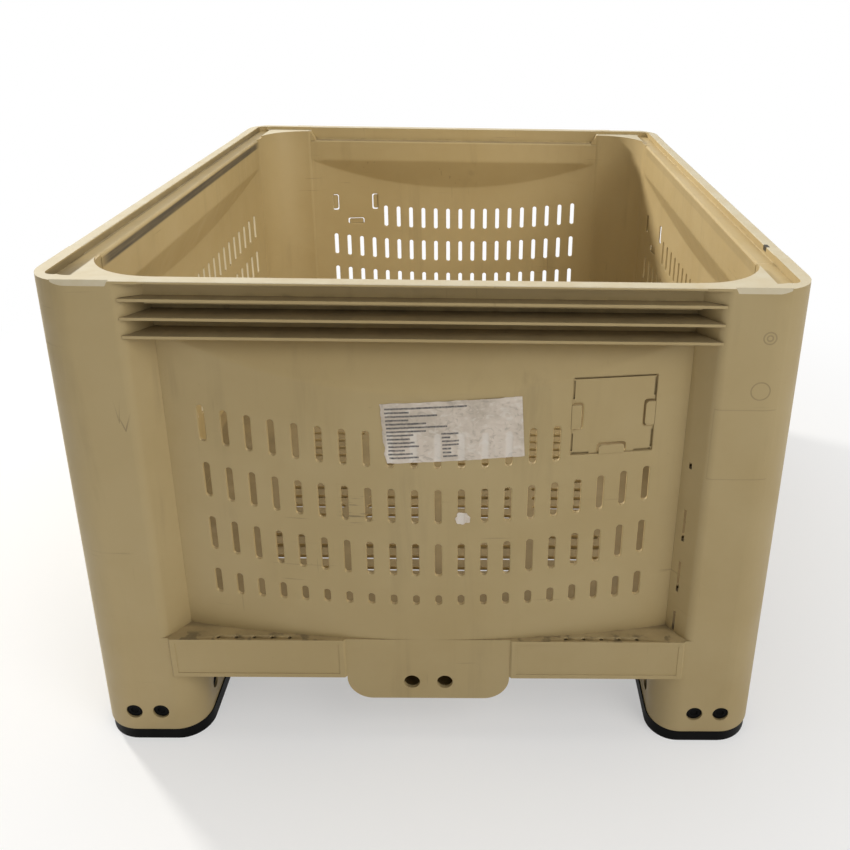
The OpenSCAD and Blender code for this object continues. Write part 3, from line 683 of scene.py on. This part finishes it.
def marks_group():
    """Painted light on the slots' cut faces, painted shade in the left lip and its channel, marks of stacking
    and handling, and the moulder's marks on the front posts, placed in metres
    """
    s, given, ends = new_group("Handling and mould marks", {
        "Colour": (0.5, 0.4, 0.3, 1), "Dirt": (0.1, 0.08, 0.05, 1), "Height": 0.0, "Bleach": 0.85,
        "Rub": 0.95, "Soil": 0.52, "Spill": 0.62, "Mark": 0.45}, {"Colour": COLOUR, "Height": FLOAT})
    coords, facing = s.coords(), s.facing()
    place = s.xyz(coords)
    x, y, z = place["X"], place["Y"], place["Z"]
    across, along = s.size(x), s.size(y)
    level = s.span(facing["Z"], 0.85, 0.95)
    on_floor = s.times(s.near(z, FLOOR_Z * MM, 0.0015, 0.001), level)

    # Painted light on the cut faces of the slots in the left and rear walls: they are made pale, as if lit
    # through the slots
    left_slot_light = s.times(s.span(s.size(facing["Y"]), 0.7, 0.85), s.span(x, -0.43, -0.44),
                       s.span(along, 0.44, 0.43))
    rear_slot_light = s.times(s.span(s.size(facing["X"]), 0.7, 0.85), s.span(y, 0.53, 0.54),
                       s.span(across, 0.34, 0.33))
    slot_light = s.times(s.most(left_slot_light, rear_slot_light), s.within(z, *SLOT_LIGHT_Z), given["Bleach"])
    colour = s.mix(slot_light, given["Colour"], SLOT_FACE_LIGHT)

    # The runner of the bin above rubs the left ledge more than the right one
    worn = s.noise(s.mapping(coords, (30, 3.2, 170)), 1.0, 4.0, 0.6)
    rub = s.times(s.within(across, *RUB_X), s.within(z, *RUB_Z), s.span(along, 0.47, 0.42),
                  s.span(x, 0.1, -0.1, 0.16, 1.0), s.span(worn, 0.25, 0.6, 0.7, 1.0), given["Rub"])
    colour = s.mix(rub, colour, RUBBED)

    # Painted shade inside the left lip, the lip's painted shadow with debris in the front left channel,
    # darker tops on the ribs, and soil at the floor's ends
    patchy = s.noise(s.mapping(coords, (60, 14, 60)), 1.0, 4.0, 0.6)
    behind_rim = s.span(y, -0.584, -0.578)
    lip = s.times(s.within(x, *LIP_X), s.within(z, *LIP_Z), behind_rim,
                  s.span(patchy, 0.25, 0.6, 0.65, 1.0))
    channel_shadow_and_debris = s.times(s.near(x, *CHANNEL_X), s.within(z, *CHANNEL_Z), s.span(y, -0.46, -0.52), behind_rim,
                      s.span(patchy, 0.3, 0.5, 0.6, 1.0))
    low_rib_z = (BIN_H - RIB_COUNT * RIB_PITCH + RIB_T / 2 - RIB_PITCH / 2) * MM
    turns = s.math("FRACT", s.math("DIVIDE", s.minus(z, low_rib_z), RIB_PITCH * MM))
    ribs = s.times(s.near(turns, 0.5, 0.03, 0.03), level, s.near(z, *RIBS_Z), 0.6)
    ends_soil = s.times(s.span(along, 0.582, 0.59), on_floor, s.span(s.noise(coords, 42.0, 3.0), 0.5, 0.62))
    colour = s.mix(s.times(s.most(lip, ribs, channel_shadow_and_debris, ends_soil), given["Soil"]), colour, SOIL_AND_SHADE)

    # Fruit juice and soil on the floor of the tub
    spilt = s.noise(coords, 5.0, 5.0, 0.6)
    spill = s.times(on_floor, s.span(across, 0.478, 0.47), s.span(along, 0.578, 0.57),
                    s.span(spilt, 0.35, 0.6, 0.75, 1.0), given["Spill"])
    colour = s.mix(spill, colour, given["Dirt"])

    # Knocks: dark streaks beside the front slots, and a nick in the right lip
    streaks = s.noise(s.mapping(coords, (22, 22, 260)), 1.0, 3.0, 0.6)
    knock = s.times(s.span(streaks, 0.57, 0.66, 0.0, 0.45), s.near(x, *KNOCK_X), s.near(z, *KNOCK_Z),
                    s.span(y, -0.58, -0.585))
    nick = s.times(s.near(x, *NICK_X), s.near(y, *NICK_Y), s.span(z, 0.731, 0.734, 0.0, 0.95))
    colour = s.mix(s.most(knock, nick), colour, KNOCKED)

    def ring(at_x, at_z, r, half):
        flat = s.add("ShaderNodeCombineXYZ", {"X": s.minus(x, at_x), "Z": s.minus(z, at_z)})
        return s.times(s.near(s.length(flat.outputs[0]), r, half, 0.0009), 0.7)

    def flow(at_x, at_z, reach, slope):
        """A V that the plastic left where two flows met"""
        side = s.times(s.size(s.minus(x, at_x)), slope)
        line = s.near(s.minus(z, side), at_z, 0.0008, 0.003)
        return s.times(line, s.within(z, at_z - 0.004, at_z, at_z + 0.002, at_z + reach))

    box = s.most(s.minus(s.size(s.minus(x, BOX_X)), BOX_HALF_W),
                 s.minus(s.size(s.minus(z, BOX_Z)), BOX_HALF_H))
    marks = s.most(s.times(s.near(box, 0.0, 0.0004, 0.0008), 0.4),
                   *(ring(*at) for at in RINGS), *(flow(*at) for at in FLOWS))
    marks = s.times(marks, s.span(y, -0.596, -0.598))
    colour = s.mix(s.times(marks, given["Mark"]), colour, given["Dirt"])
    return close_group(s, ends, {"Colour": colour, "Height": s.minus(given["Height"], marks)})


def new_material(name):
    material = bpy.data.materials.new(name)
    material.use_nodes = True
    s = Sketch(material.node_tree)
    return material, s, s.tree.nodes["Principled BSDF"].inputs


def rgba(colour):
    return (*colour, 1.0)


def plastic_material(name, group, values, bump_mm, specular, marks=None):
    material, s, shader = new_material(name)
    weather = s.add("ShaderNodeGroup", values, node_tree=group).outputs
    colour, height = weather["Colour"], weather["Height"]
    if marks is not None:
        marked = s.add("ShaderNodeGroup", {"Colour": colour, "Dirt": values["Grime"], "Height": height},
                       node_tree=marks).outputs
        colour, height = marked["Colour"], marked["Height"]
    bump = s.add("ShaderNodeBump", {"Height": height, "Strength": 1.0, "Distance": bump_mm * MM})
    s.link(colour, shader["Base Color"])
    s.link(weather["Roughness"], shader["Roughness"])
    s.link(bump.outputs["Normal"], shader["Normal"])
    shader["Specular IOR Level"].default_value = specular
    material.diffuse_color = values["Colour"]


def ruled_lines(s):
    """Plain printed lines of uneven length: one column above, two below"""
    sheet = s.xyz(s.add("ShaderNodeUVMap", uv_map="Sheet").outputs["UV"])
    u, v = sheet["X"], sheet["Y"]
    rows = s.times(v, 16.0)
    row = s.math("FLOOR", rows)
    line = s.near(s.math("FRACT", rows), 0.5, 0.2, 0.07)

    def between(value, low, high):
        return s.times(s.math("GREATER_THAN", value, low), s.math("LESS_THAN", value, high))

    def run(start, least, most, seed):
        pick = s.add("ShaderNodeTexWhiteNoise", {"W": s.math("ADD", row, seed)}, noise_dimensions="1D")
        return between(u, start, s.span(pick.outputs["Value"], 0.0, 1.0, start + least, start + most, False))
    low = s.math("LESS_THAN", v, 0.5)
    upper = s.times(run(0.03, 0.1, 0.62, 0.3), s.minus(1.0, low))
    lower = s.times(s.most(run(0.03, 0.1, 0.25, 5.1), run(0.42, 0.06, 0.13, 9.4)), low)
    return s.times(s.most(upper, lower), line, between(v, 0.07, 0.95))


def paper_material(colours):
    material, s, shader = new_material(PAPER)
    coords = s.coords()
    fibre = s.noise(coords, 420.0, 3.0)
    blotch = s.span(s.noise(coords, 14.0, 5.0, 0.65), 0.4, 0.72)
    colour = s.mix(blotch, rgba(colours.paper), rgba(colours.paper_aged))
    # Paler and darker bands: crease marks, partly painted highlight and shade of folds
    crease_and_fold_light = s.noise(s.mapping(coords, (55, 55, 80)), 1.0, 5.0, 0.6, 1.6)
    colour = s.mix(s.span(crease_and_fold_light, 0.53, 0.64, 0.0, 0.5), colour, CREASE_MARK_AND_HIGHLIGHT)
    colour = s.mix(s.span(crease_and_fold_light, 0.44, 0.34, 0.0, 0.4), colour, CREASE_MARK_AND_SHADE)
    colour = s.mix(s.times(s.attribute("over_slot"), 0.4), colour, OVER_SLOT)
    worn_print = s.span(fibre, 0.3, 0.6, 0.5, 0.95, False)
    colour = s.mix(s.times(ruled_lines(s), s.attribute("print"), worn_print), colour, INK)
    bump = s.add("ShaderNodeBump", {"Height": fibre, "Strength": 0.6, "Distance": 0.15 * MM})
    s.link(colour, shader["Base Color"])
    s.link(bump.outputs["Normal"], shader["Normal"])
    shader["Roughness"].default_value = 0.75
    shader["Specular IOR Level"].default_value = 0.3
    material.diffuse_color = rgba(colours.paper)


def named_material(name):
    found = bpy.data.materials.get(name)
    if found is None:
        raise RuntimeError("material %s isn't made yet" % name)
    return found


def build_materials(colours):
    group = weathering_group()
    plastic_material(TAN, group, {
        "Colour": rgba(colours.tan), "Faded": rgba(colours.tan_faded), "Grime": rgba(colours.grime_and_shade),
        "Dust": rgba(colours.dust), "Mottle": 0.5, "Stain": 0.18, "Scuff": 0.35, "Crevice": 0.7,
        "Dusting": 0.95, "Silt": 0.6}, bump_mm=0.28, specular=0.3, marks=marks_group())
    plastic_material(BLACK, group, {
        "Colour": rgba(colours.black), "Faded": rgba(v * 1.8 for v in colours.black),
        "Grime": (0.05, 0.045, 0.035, 1.0), "Dust": (0.12, 0.11, 0.09, 1.0), "Mottle": 0.6, "Stain": 0.2,
        "Scuff": 0.4, "Crevice": 0.1, "Dusting": 0.0, "Silt": 0.1}, bump_mm=0.35, specular=0.06)
    paper_material(colours)


# Pins, by Geometry Nodes

def pin_source(sizes):
    """A turned pin with a dished head, its head at the origin and its shank along +Z"""
    r, dish_r, dish_z, sunk, length, round_r, chamfer = 12.0, 6.1, 5.6, 3.0, 38.0, 1.2, 1.5
    profile = [(0, dish_z), (dish_r - 1, dish_z), (dish_r - 0.3, dish_z - 0.4), (dish_r, dish_z - 1.2),
               (dish_r, sunk + 0.6), (dish_r + 0.5, sunk + 0.1), (dish_r + 1.2, sunk)]
    profile += [(r - round_r + round_r * math.sin(a), sunk + round_r * (1 - math.cos(a)))
                for a in np.radians((0, 30, 60, 90))]
    profile += [(r, sunk + length - chamfer), (r - chamfer, sunk + length), (0, sunk + length)]
    bm = bmesh.new()
    verts = [bm.verts.new((x * MM, 0, z * MM)) for x, z in profile]
    edges = [bm.edges.new(pair) for pair in zip(verts, verts[1:])]
    bmesh.ops.spin(bm, geom=verts + edges, cent=(0, 0, 0), axis=(0, 0, 1), angle=math.tau,
                   steps=sizes.pin_sides, use_merge=True)
    bmesh.ops.remove_doubles(bm, verts=bm.verts, dist=PIN_WELD)
    bmesh.ops.recalc_face_normals(bm, faces=bm.faces)
    mesh = mesh_from(bm, "pin_source")
    smooth_faces(mesh, PIN_SHARP)
    return new_object("pin_source", mesh)


def pin_tree(material):
    """Sets a pin at each point, along the point's own direction, turned at random"""
    tree = bpy.data.node_groups.new("Foot pins", "GeometryNodeTree")
    sockets = {}
    for label, kind, default in (("Geometry", "NodeSocketGeometry", None), ("Pin", "NodeSocketObject", None),
                                 ("Size", "NodeSocketFloat", 1.0), ("Seed", "NodeSocketInt", 3)):
        socket = tree.interface.new_socket(label, in_out="INPUT", socket_type=kind)
        if default is not None:
            socket.default_value = default
        sockets[label] = socket.identifier
    tree.interface.new_socket("Geometry", in_out="OUTPUT", socket_type="NodeSocketGeometry")
    s = Sketch(tree)
    given, out = s.add("NodeGroupInput").outputs, s.add("NodeGroupOutput")
    pin = s.add("GeometryNodeObjectInfo", {"Object": given["Pin"]})
    aim = s.add("GeometryNodeInputNamedAttribute", {"Name": "aim"}, data_type="FLOAT_VECTOR")
    along = s.add("FunctionNodeAlignRotationToVector", {"Vector": aim.outputs["Attribute"]}, axis="Z")
    turn = s.add("FunctionNodeRandomValue", {"Seed": given["Seed"]}, data_type="FLOAT")
    turn.inputs[2].default_value, turn.inputs[3].default_value = 0.0, math.tau
    spin = s.add("FunctionNodeAxisAngleToRotation", {"Axis": (0, 0, 1), "Angle": turn.outputs[1]})
    rotation = s.add("FunctionNodeRotateRotation", {
        "Rotation": along.outputs[0], "Rotate By": spin.outputs[0]}, rotation_space="LOCAL")
    placed = s.add("GeometryNodeInstanceOnPoints", {
        "Points": given["Geometry"], "Instance": pin.outputs["Geometry"],
        "Rotation": rotation.outputs[0], "Scale": given["Size"]})
    real = s.add("GeometryNodeRealizeInstances", {0: placed.outputs[0]})
    finish = s.add("GeometryNodeSetMaterial", {"Geometry": real.outputs[0], "Material": material})
    s.link(finish.outputs[0], out.inputs[0])
    return tree, sockets


def build_pins(sizes, material):
    source = pin_source(sizes)
    tree, sockets = pin_tree(material)
    first, gap, side_y, foot_w, pin_z = 56.5, 40.0, 66.0, 160.0, 54.0
    corner_pins = [((first, 0, pin_z), (0, 1, 0)), ((first + gap, 0, pin_z), (0, 1, 0)),
                   ((foot_w, side_y, pin_z), (-1, 0, 0))]
    places = {}
    for name in CORNERS:
        sx, sy = (-1 if "right" in name else 1), (-1 if name.startswith("rear") else 1)
        places[name + "_pins"] = [((sx * (x - HALF_W), sy * (y - HALF_D), z), (sx * ax, sy * ay, az))
                                  for (x, y, z), (ax, ay, az) in corner_pins]
    for name, sign in (("left", -1), ("right", 1)):
        places[name + "_middle_pins"] = [((sign * HALF_W, dy, pin_z), (-sign, 0, 0))
                                         for dy in (-gap / 2, gap / 2)]
    for seed, (node, pins) in enumerate(places.items()):
        mesh = bpy.data.meshes.new(node + "_points")
        mesh.from_pydata([Vector(p) * MM for p, _ in pins], [], [])
        aim = mesh.attributes.new("aim", "FLOAT_VECTOR", "POINT")
        aim.data.foreach_set("vector", [v for _, a in pins for v in a])
        holder = new_object(node + "_points", mesh)
        modifier = holder.modifiers.new("Foot pins", "NODES")
        modifier.node_group = tree
        modifier[sockets["Pin"]] = source
        modifier[sockets["Size"]] = 1.0
        modifier[sockets["Seed"]] = seed + 3
        graph = bpy.context.evaluated_depsgraph_get()
        made = bpy.data.meshes.new_from_object(holder.evaluated_get(graph), depsgraph=graph)
        made.name = node + "_turned"
        bpy.data.objects.remove(holder)
        if "aim" in made.attributes:
            made.attributes.remove(made.attributes["aim"])
        smooth_faces(made, PIN_SHARP)
        finish_piece(new_object(node + "_turned", made), BIN, node, material)
    bpy.data.objects.remove(source)


# Paper

def paper_sheet(name, node, centre, size, turn, counts, outline_wear, wrinkle, printed, material):
    """A thin closed sheet that lies on the bowed front panel, with wrinkles and dips over the slots"""
    nu, nv = counts
    form, shell = FORMS[0], Shell()
    slots = form.slots()
    flat, dips, lifts = [], [], []
    for j in range(nv + 1):
        for i in range(nu + 1):
            u, v = i / nu - 0.5, j / nv - 0.5
            wear = outline_wear(u, v)
            a, b = u * size[0] + wear[0], v * size[1] + wear[1]
            x = centre[0] + a * math.cos(turn) - b * math.sin(turn)
            z = centre[1] + a * math.sin(turn) + b * math.cos(turn)
            flat.append((x, z))
            dip = 0.0
            for cx, cz, w, h, r in slots:
                q = math.hypot(max(abs(x - cx) - (w / 2 - r), 0), max(abs(z - cz) - (h / 2 - r), 0))
                dip = max(dip, 1 - min(max((q - r + DIP_IN) / DIP_SOFT, 0), 1))
            dips.append(dip)
            lifts.append(wrinkle(a, b) * (1 - dip))

    def face(out):
        return shell.add((x, form.face_y(x, z) - out + DIP_D * dip - lift, z)
                         for (x, z), dip, lift in zip(flat, dips, lifts))
    front, back = face(PAPER_GAP + PAPER_T), face(PAPER_GAP)
    row = nu + 1
    for j in range(nv):
        for i in range(nu):
            k = j * row + i
            shell.faces.append((front[k], front[k + 1], front[k + row + 1], front[k + row]))
            shell.faces.append((back[k], back[k + row], back[k + row + 1], back[k + 1]))
    rim = list(range(nu)) + [j * row + nu for j in range(nv)]
    rim += [nv * row + i for i in range(nu, 0, -1)] + [j * row for j in range(nv, 0, -1)]
    shell.strip([front[i] for i in rim], [back[i] for i in rim])
    mesh = shell.to_mesh(name, side_matrix(0))
    for label, values in (("over_slot", dips), ("print", [printed] * len(flat))):
        layer = mesh.attributes.new(label, "FLOAT", "POINT")
        layer.data.foreach_set("value", values + [0.0] * len(values))
    sheet = mesh.uv_layers.new(name="Sheet")
    places = [corner.vertex_index % len(flat) for corner in mesh.loops]
    sheet.data.foreach_set("uv", [c for k in places for c in (k % row / nu, k // row / nv)])
    smooth_faces(mesh, PAPER_SHARP)
    finish_piece(new_object(name, mesh), BIN, node, material)


def label_edge(u, v):
    """A torn left edge and frayed upper and lower edges"""
    ragged = noise.noise(Vector((v * 9, 4.2, 0.3))) * 2.4 + noise.noise(Vector((v * 31, 1.2, 0.3))) * 0.8
    left = max(0.0, 1 - (u + 0.5) * 14)
    fray = noise.noise(Vector((u * 16, 9.1, 0.7))) * 0.7
    low = max(0.0, 1 - (0.5 - abs(v)) * 16)
    return (left * (1.6 + ragged), -math.copysign(low * (0.4 + fray), v))


def label_wrinkle(a, b):
    """Folds that are higher where the right half has come loose"""
    p = Vector((a * 0.05, b * 0.075, 2.7))
    fold = 1 - abs(noise.noise(p + Vector((noise.noise(p * 1.7) * 0.7, 0, 0))))
    loose = min(max((a + 50) / 60, 0.25), 1.0)
    return loose * 0.95 * max(0.0, fold - 0.72) / 0.28 + 0.16 * noise.noise(Vector((a * 0.2, b * 0.2, 5.0)))


def sticker_edge(u, v):
    """A scrap torn off all round"""
    ring = max(abs(u), abs(v)) * 2
    swing = math.atan2(v, u)
    wobble = noise.noise(Vector((math.cos(swing) * 1.6, math.sin(swing) * 1.6, 3.1)))
    shrink = ring * (1.2 + 3.0 * wobble) + ring * 2.2 * abs(u * v) * 4
    return (-math.copysign(shrink, u) * abs(u) * 2, -math.copysign(shrink, v) * abs(v) * 2)


def sticker_wrinkle(a, b):
    return 0.15 + 0.3 * abs(noise.noise(Vector((a * 0.2, b * 0.2, 1.0))))


def build_papers(material):
    paper_sheet("paper_label", "product_label", (LABEL_X, LABEL_Z), (LABEL_W, LABEL_H), LABEL_TURN, (140, 70),
                label_edge, label_wrinkle, 1.0, material)
    paper_sheet("sticker_scrap", "torn_sticker", (STICKER_X, STICKER_Z), (STICKER_W, STICKER_W), STICKER_TURN,
                (30, 30), sticker_edge, sticker_wrinkle, 0.0, material)


# Stage

# Camera, found from the rim and base corners of the photograph: angles in radians, lengths in pixels
YAW, PITCH, ROLL = 0.016082, 0.363286, 0.017454
FOCAL, CENTRE_X, CENTRE_Y, FRAME_PX = 880.94, 493.58, 309.58, 850.0
EYE = (0.0708, -1.6312, 1.1009)

FLOOR_HALF, FLOOR_DROP = 90.0, 0.0005
FADE = (0.6, 1.8, 0.45, 1.0)  # metres between which the floor turns white, and how white it is at each
WHITE, SOFT_WHITE, WARM_WHITE = (1, 1, 1, 1), (1.0, 0.985, 0.96, 1), (1.0, 0.97, 0.91, 1)
TUB_WHITE = (1.0, 0.94, 0.8, 1)
# Lamps by name: place, target, size, colour, and the setting that holds the power
LAMPS = {"Key lamp": ((-3.70, 2.68, 2.53), (0, 0, 0.5), 0.6, WARM_WHITE, "key_power"),
         "Front fill": ((2.2, -2.6, 2.9), (0, 0, 0.4), 2.4, SOFT_WHITE, "fill_power"),
         "Overhead lamp": ((0, -0.2, 3.1), (0, -0.1, 0.7), 2.2, WARM_WHITE, "top_power"),
         "Tub lamp": ((0.36, 0, 0.58), (-0.5, 0, 0.5), 0.5, TUB_WHITE, "tub_power")}


def build_floor(colour):
    """A floor that keeps the bin's shadow and is white further out"""
    bm = bmesh.new()
    bmesh.ops.create_grid(bm, x_segments=2, y_segments=2, size=FLOOR_HALF)
    floor = new_object("floor", mesh_from(bm, "floor"))
    floor.location.z = -FLOOR_DROP
    material, s, _ = new_material("Pale floor")
    s.tree.nodes.clear()
    out = s.add("ShaderNodeOutputMaterial")
    pale = s.add("ShaderNodeBsdfDiffuse", {"Color": rgba(colour)})
    white = s.add("ShaderNodeEmission", {"Color": WHITE, "Strength": 1.0})
    far = s.span(s.length(s.coords()), *FADE)
    s.blend(s.times(s.seen(), far), pale, white, out)
    floor.data.materials.append(material)


def build_world(strength):
    """Soft light all round, seen as plain white"""
    world = bpy.data.worlds.new("Studio")
    bpy.context.scene.world = world
    world.use_nodes = True
    s = Sketch(world.node_tree)
    s.tree.nodes.clear()
    out = s.add("ShaderNodeOutputWorld")
    soft = s.add("ShaderNodeBackground", {"Color": SOFT_WHITE, "Strength": strength})
    white = s.add("ShaderNodeBackground", {"Color": WHITE, "Strength": 1.0})
    s.blend(s.seen(), soft, white, out)


def build_lamps(stage):
    for name, (place, target, size, colour, power) in LAMPS.items():
        lamp = bpy.data.lights.new(name, "AREA")
        lamp.shape, lamp.size, lamp.energy, lamp.color = "DISK", size, getattr(stage, power), colour[:3]
        obj = new_object(name, lamp)
        obj.location = place
        obj.visible_camera = False
        obj.rotation_euler = (Vector(target) - Vector(place)).to_track_quat("-Z", "Y").to_euler()


def build_camera():
    level_ahead = Vector((math.sin(YAW), math.cos(YAW), 0))
    level_right = Vector((math.cos(YAW), -math.sin(YAW), 0))
    upright = Vector((0, 0, 1))
    ahead = math.cos(PITCH) * level_ahead - math.sin(PITCH) * upright
    up = math.sin(PITCH) * level_ahead + math.cos(PITCH) * upright
    right = math.cos(ROLL) * level_right + math.sin(ROLL) * up
    top = -math.sin(ROLL) * level_right + math.cos(ROLL) * up
    camera = bpy.data.cameras.new("Camera")
    camera.sensor_width = 36.0
    camera.lens = camera.sensor_width * FOCAL / FRAME_PX
    camera.shift_x = (FRAME_PX / 2 - CENTRE_X) / FRAME_PX
    camera.shift_y = (CENTRE_Y - FRAME_PX / 2) / FRAME_PX
    camera.clip_end = 200.0
    view = new_object("Camera", camera)
    view.matrix_world = Matrix.Translation(EYE) @ Matrix((right, top, -ahead)).transposed().to_4x4()
    bpy.context.scene.camera = view


# Add-on

def length_setting(name, description, default, most):
    return FloatProperty(name=name, description=description, default=default, min=0.0002, max=most,
                         unit="LENGTH")


def colour_setting(name, description, default):
    return FloatVectorProperty(name=name, description=description, default=default, size=3, min=0, max=1,
                               subtype="COLOR")


def power_setting(name, description, default):
    return FloatProperty(name=name, description=description, default=default, min=0, unit="POWER")


class FruitBinSizes(bpy.types.PropertyGroup):
    """Edge roundings of the mouldings"""
    edge_r: length_setting("Wall edge radius", "Rounding of the slots and lips", 0.0014, 0.003)
    rib_r: length_setting("Rib edge radius", "Rounding of the ribs under the rim", 0.0012, 0.002)
    post_r: length_setting("Post edge radius", "Rounding of the posts' and feet's edges", 0.0018, 0.004)
    base_r: length_setting("Base edge radius", "Rounding of the beams, blocks and floor", 0.0016, 0.004)
    runner_r: length_setting("Runner edge radius", "Rounding of the runners' edges", 0.003, 0.006)
    tab_r: length_setting("Tab edge radius", "Rounding of the card tabs' edges", 0.0006, 0.001)
    pin_sides: IntProperty(name="Pin sides", description="Facets round each pin", default=40, min=16, max=64)


class FruitBinColours(bpy.types.PropertyGroup):
    """Colours of the plastics and papers"""
    tan: colour_setting("Tan", "Plastic in the shade", (0.46, 0.35, 0.17))
    tan_faded: colour_setting("Faded tan", "Plastic that the sun has bleached", (0.53, 0.42, 0.225))
    # This colour also paints the shade in corners and creases
    grime_and_shade: colour_setting("Grime", "Dirt in corners and scuffs", (0.12, 0.088, 0.045))
    dust: colour_setting("Dust", "Bleached, dusty upper faces", (0.62, 0.575, 0.45))
    black: colour_setting("Black", "Runners and pins", (0.0025, 0.0025, 0.0025))
    paper: colour_setting("Paper", "Clean paper", (0.73, 0.645, 0.555))
    paper_aged: colour_setting("Aged paper", "Stained paper", (0.53, 0.46, 0.375))


class FruitBinStage(bpy.types.PropertyGroup):
    """Floor and light"""
    floor: colour_setting("Floor", "Floor colour", (0.9, 0.9, 0.9))
    key_power: power_setting("Key lamp", "Power of the lamp behind on the left", 260.0)
    fill_power: power_setting("Front fill", "Power of the lamp in front", 56.0)
    top_power: power_setting("Overhead lamp", "Power of the lamp above", 30.0)
    tub_power: power_setting("Tub lamp", "Power of the lamp for light thrown back inside the tub", 2.2)
    world_strength: FloatProperty(name="Sky", description="Strength of the soft light all round",
                                  default=0.22, min=0)


class BuildStep:
    """A step that builds one group of pieces from the scene's settings"""

    def execute(self, context):
        self.build(context.scene)
        return {"FINISHED"}


class FRUITBIN_OT_materials(BuildStep, bpy.types.Operator):
    """Makes the plastics and the paper"""
    bl_idname = "fruitbin.materials"
    bl_label = "Materials"

    def build(self, scene):
        build_materials(scene.fruitbin_colours)


class FRUITBIN_OT_walls(BuildStep, bpy.types.Operator):
    """Builds the four bowed, slotted walls with their rims, ribs and card recesses"""
    bl_idname = "fruitbin.walls"
    bl_label = "Walls"

    def build(self, scene):
        build_walls(scene.fruitbin_sizes, named_material(TAN))


class FRUITBIN_OT_posts(BuildStep, bpy.types.Operator):
    """Builds the four corner posts with their feet"""
    bl_idname = "fruitbin.posts"
    bl_label = "Corner posts"

    def build(self, scene):
        for corner in CORNERS:
            build_moulding(corner + "_post", scene.fruitbin_sizes.post_r, BIN, TAN)


class FRUITBIN_OT_base(BuildStep, bpy.types.Operator):
    """Builds the floor, the beams, the centre blocks and the middle feet"""
    bl_idname = "fruitbin.base"
    bl_label = "Base"

    def build(self, scene):
        base_r = scene.fruitbin_sizes.base_r
        for node in NODES:
            if node.endswith(("_beam", "_block", "_foot")) or node == "base_deck":
                bevel = base_r / 2 if node == "base_deck" else base_r
                build_moulding(node, bevel, BIN, TAN, 2)


class FRUITBIN_OT_runners(BuildStep, bpy.types.Operator):
    """Builds the two black runners"""
    bl_idname = "fruitbin.runners"
    bl_label = "Runners"

    def build(self, scene):
        for node in ("left_runner", "right_runner"):
            build_moulding(node, scene.fruitbin_sizes.runner_r, BIN, BLACK)


class FRUITBIN_OT_pins(BuildStep, bpy.types.Operator):
    """Sets the black pins that hold the runners in the feet"""
    bl_idname = "fruitbin.pins"
    bl_label = "Pins"

    def build(self, scene):
        build_pins(scene.fruitbin_sizes, named_material(BLACK))


class FRUITBIN_OT_card_tabs(BuildStep, bpy.types.Operator):
    """Builds the flexing tabs of the card holders"""
    bl_idname = "fruitbin.card_tabs"
    bl_label = "Card tabs"

    def build(self, scene):
        for side in SIDES:
            for edge in ("left", "right", "bottom"):
                node = "%s_card_tab_%s" % (side, edge)
                build_moulding(node, scene.fruitbin_sizes.tab_r, node, TAN, 2)


class FRUITBIN_OT_papers(BuildStep, bpy.types.Operator):
    """Lays the paper label and the torn sticker on the front wall"""
    bl_idname = "fruitbin.papers"
    bl_label = "Papers"

    def build(self, scene):
        build_papers(named_material(PAPER))


class FRUITBIN_OT_stage(BuildStep, bpy.types.Operator):
    """Makes the floor, the light and the camera"""
    bl_idname = "fruitbin.stage"
    bl_label = "Stage"

    def build(self, scene):
        stage = scene.fruitbin_stage
        scene.view_settings.view_transform = "Standard"
        build_floor(stage.floor)
        build_world(stage.world_strength)
        build_lamps(stage)
        build_camera()


STEPS = (FRUITBIN_OT_materials, FRUITBIN_OT_walls, FRUITBIN_OT_posts, FRUITBIN_OT_base, FRUITBIN_OT_runners,
         FRUITBIN_OT_pins, FRUITBIN_OT_card_tabs, FRUITBIN_OT_papers, FRUITBIN_OT_stage)
GROUPS = {"fruitbin_sizes": FruitBinSizes, "fruitbin_colours": FruitBinColours,
          "fruitbin_stage": FruitBinStage}


class FRUITBIN_PT_parts(bpy.types.Panel):
    """Shows the settings and the steps that build the bin"""
    bl_idname = "FRUITBIN_PT_parts"
    bl_label = "Fruit bin"
    bl_space_type = "VIEW_3D"
    bl_region_type = "UI"
    bl_category = "Fruit bin"

    def draw(self, context):
        for name, group in GROUPS.items():
            box = self.layout.box()
            for key in group.__annotations__:
                box.prop(getattr(context.scene, name), key)
        for step in STEPS:
            self.layout.operator(step.bl_idname)


def register():
    for cls in (*GROUPS.values(), *STEPS, FRUITBIN_PT_parts):
        bpy.utils.register_class(cls)
    for name, group in GROUPS.items():
        setattr(bpy.types.Scene, name, PointerProperty(type=group))


def unregister():
    for name in GROUPS:
        delattr(bpy.types.Scene, name)
    for cls in (FRUITBIN_PT_parts, *STEPS[::-1], *GROUPS.values()):
        bpy.utils.unregister_class(cls)


def main():
    register()
    bpy.ops.fruitbin.materials()
    bpy.ops.fruitbin.walls()
    bpy.ops.fruitbin.posts()
    bpy.ops.fruitbin.base()
    bpy.ops.fruitbin.runners()
    bpy.ops.fruitbin.pins()
    bpy.ops.fruitbin.card_tabs()
    bpy.ops.fruitbin.papers()
    bpy.ops.fruitbin.stage()


if __name__ == "__main__":
    main()
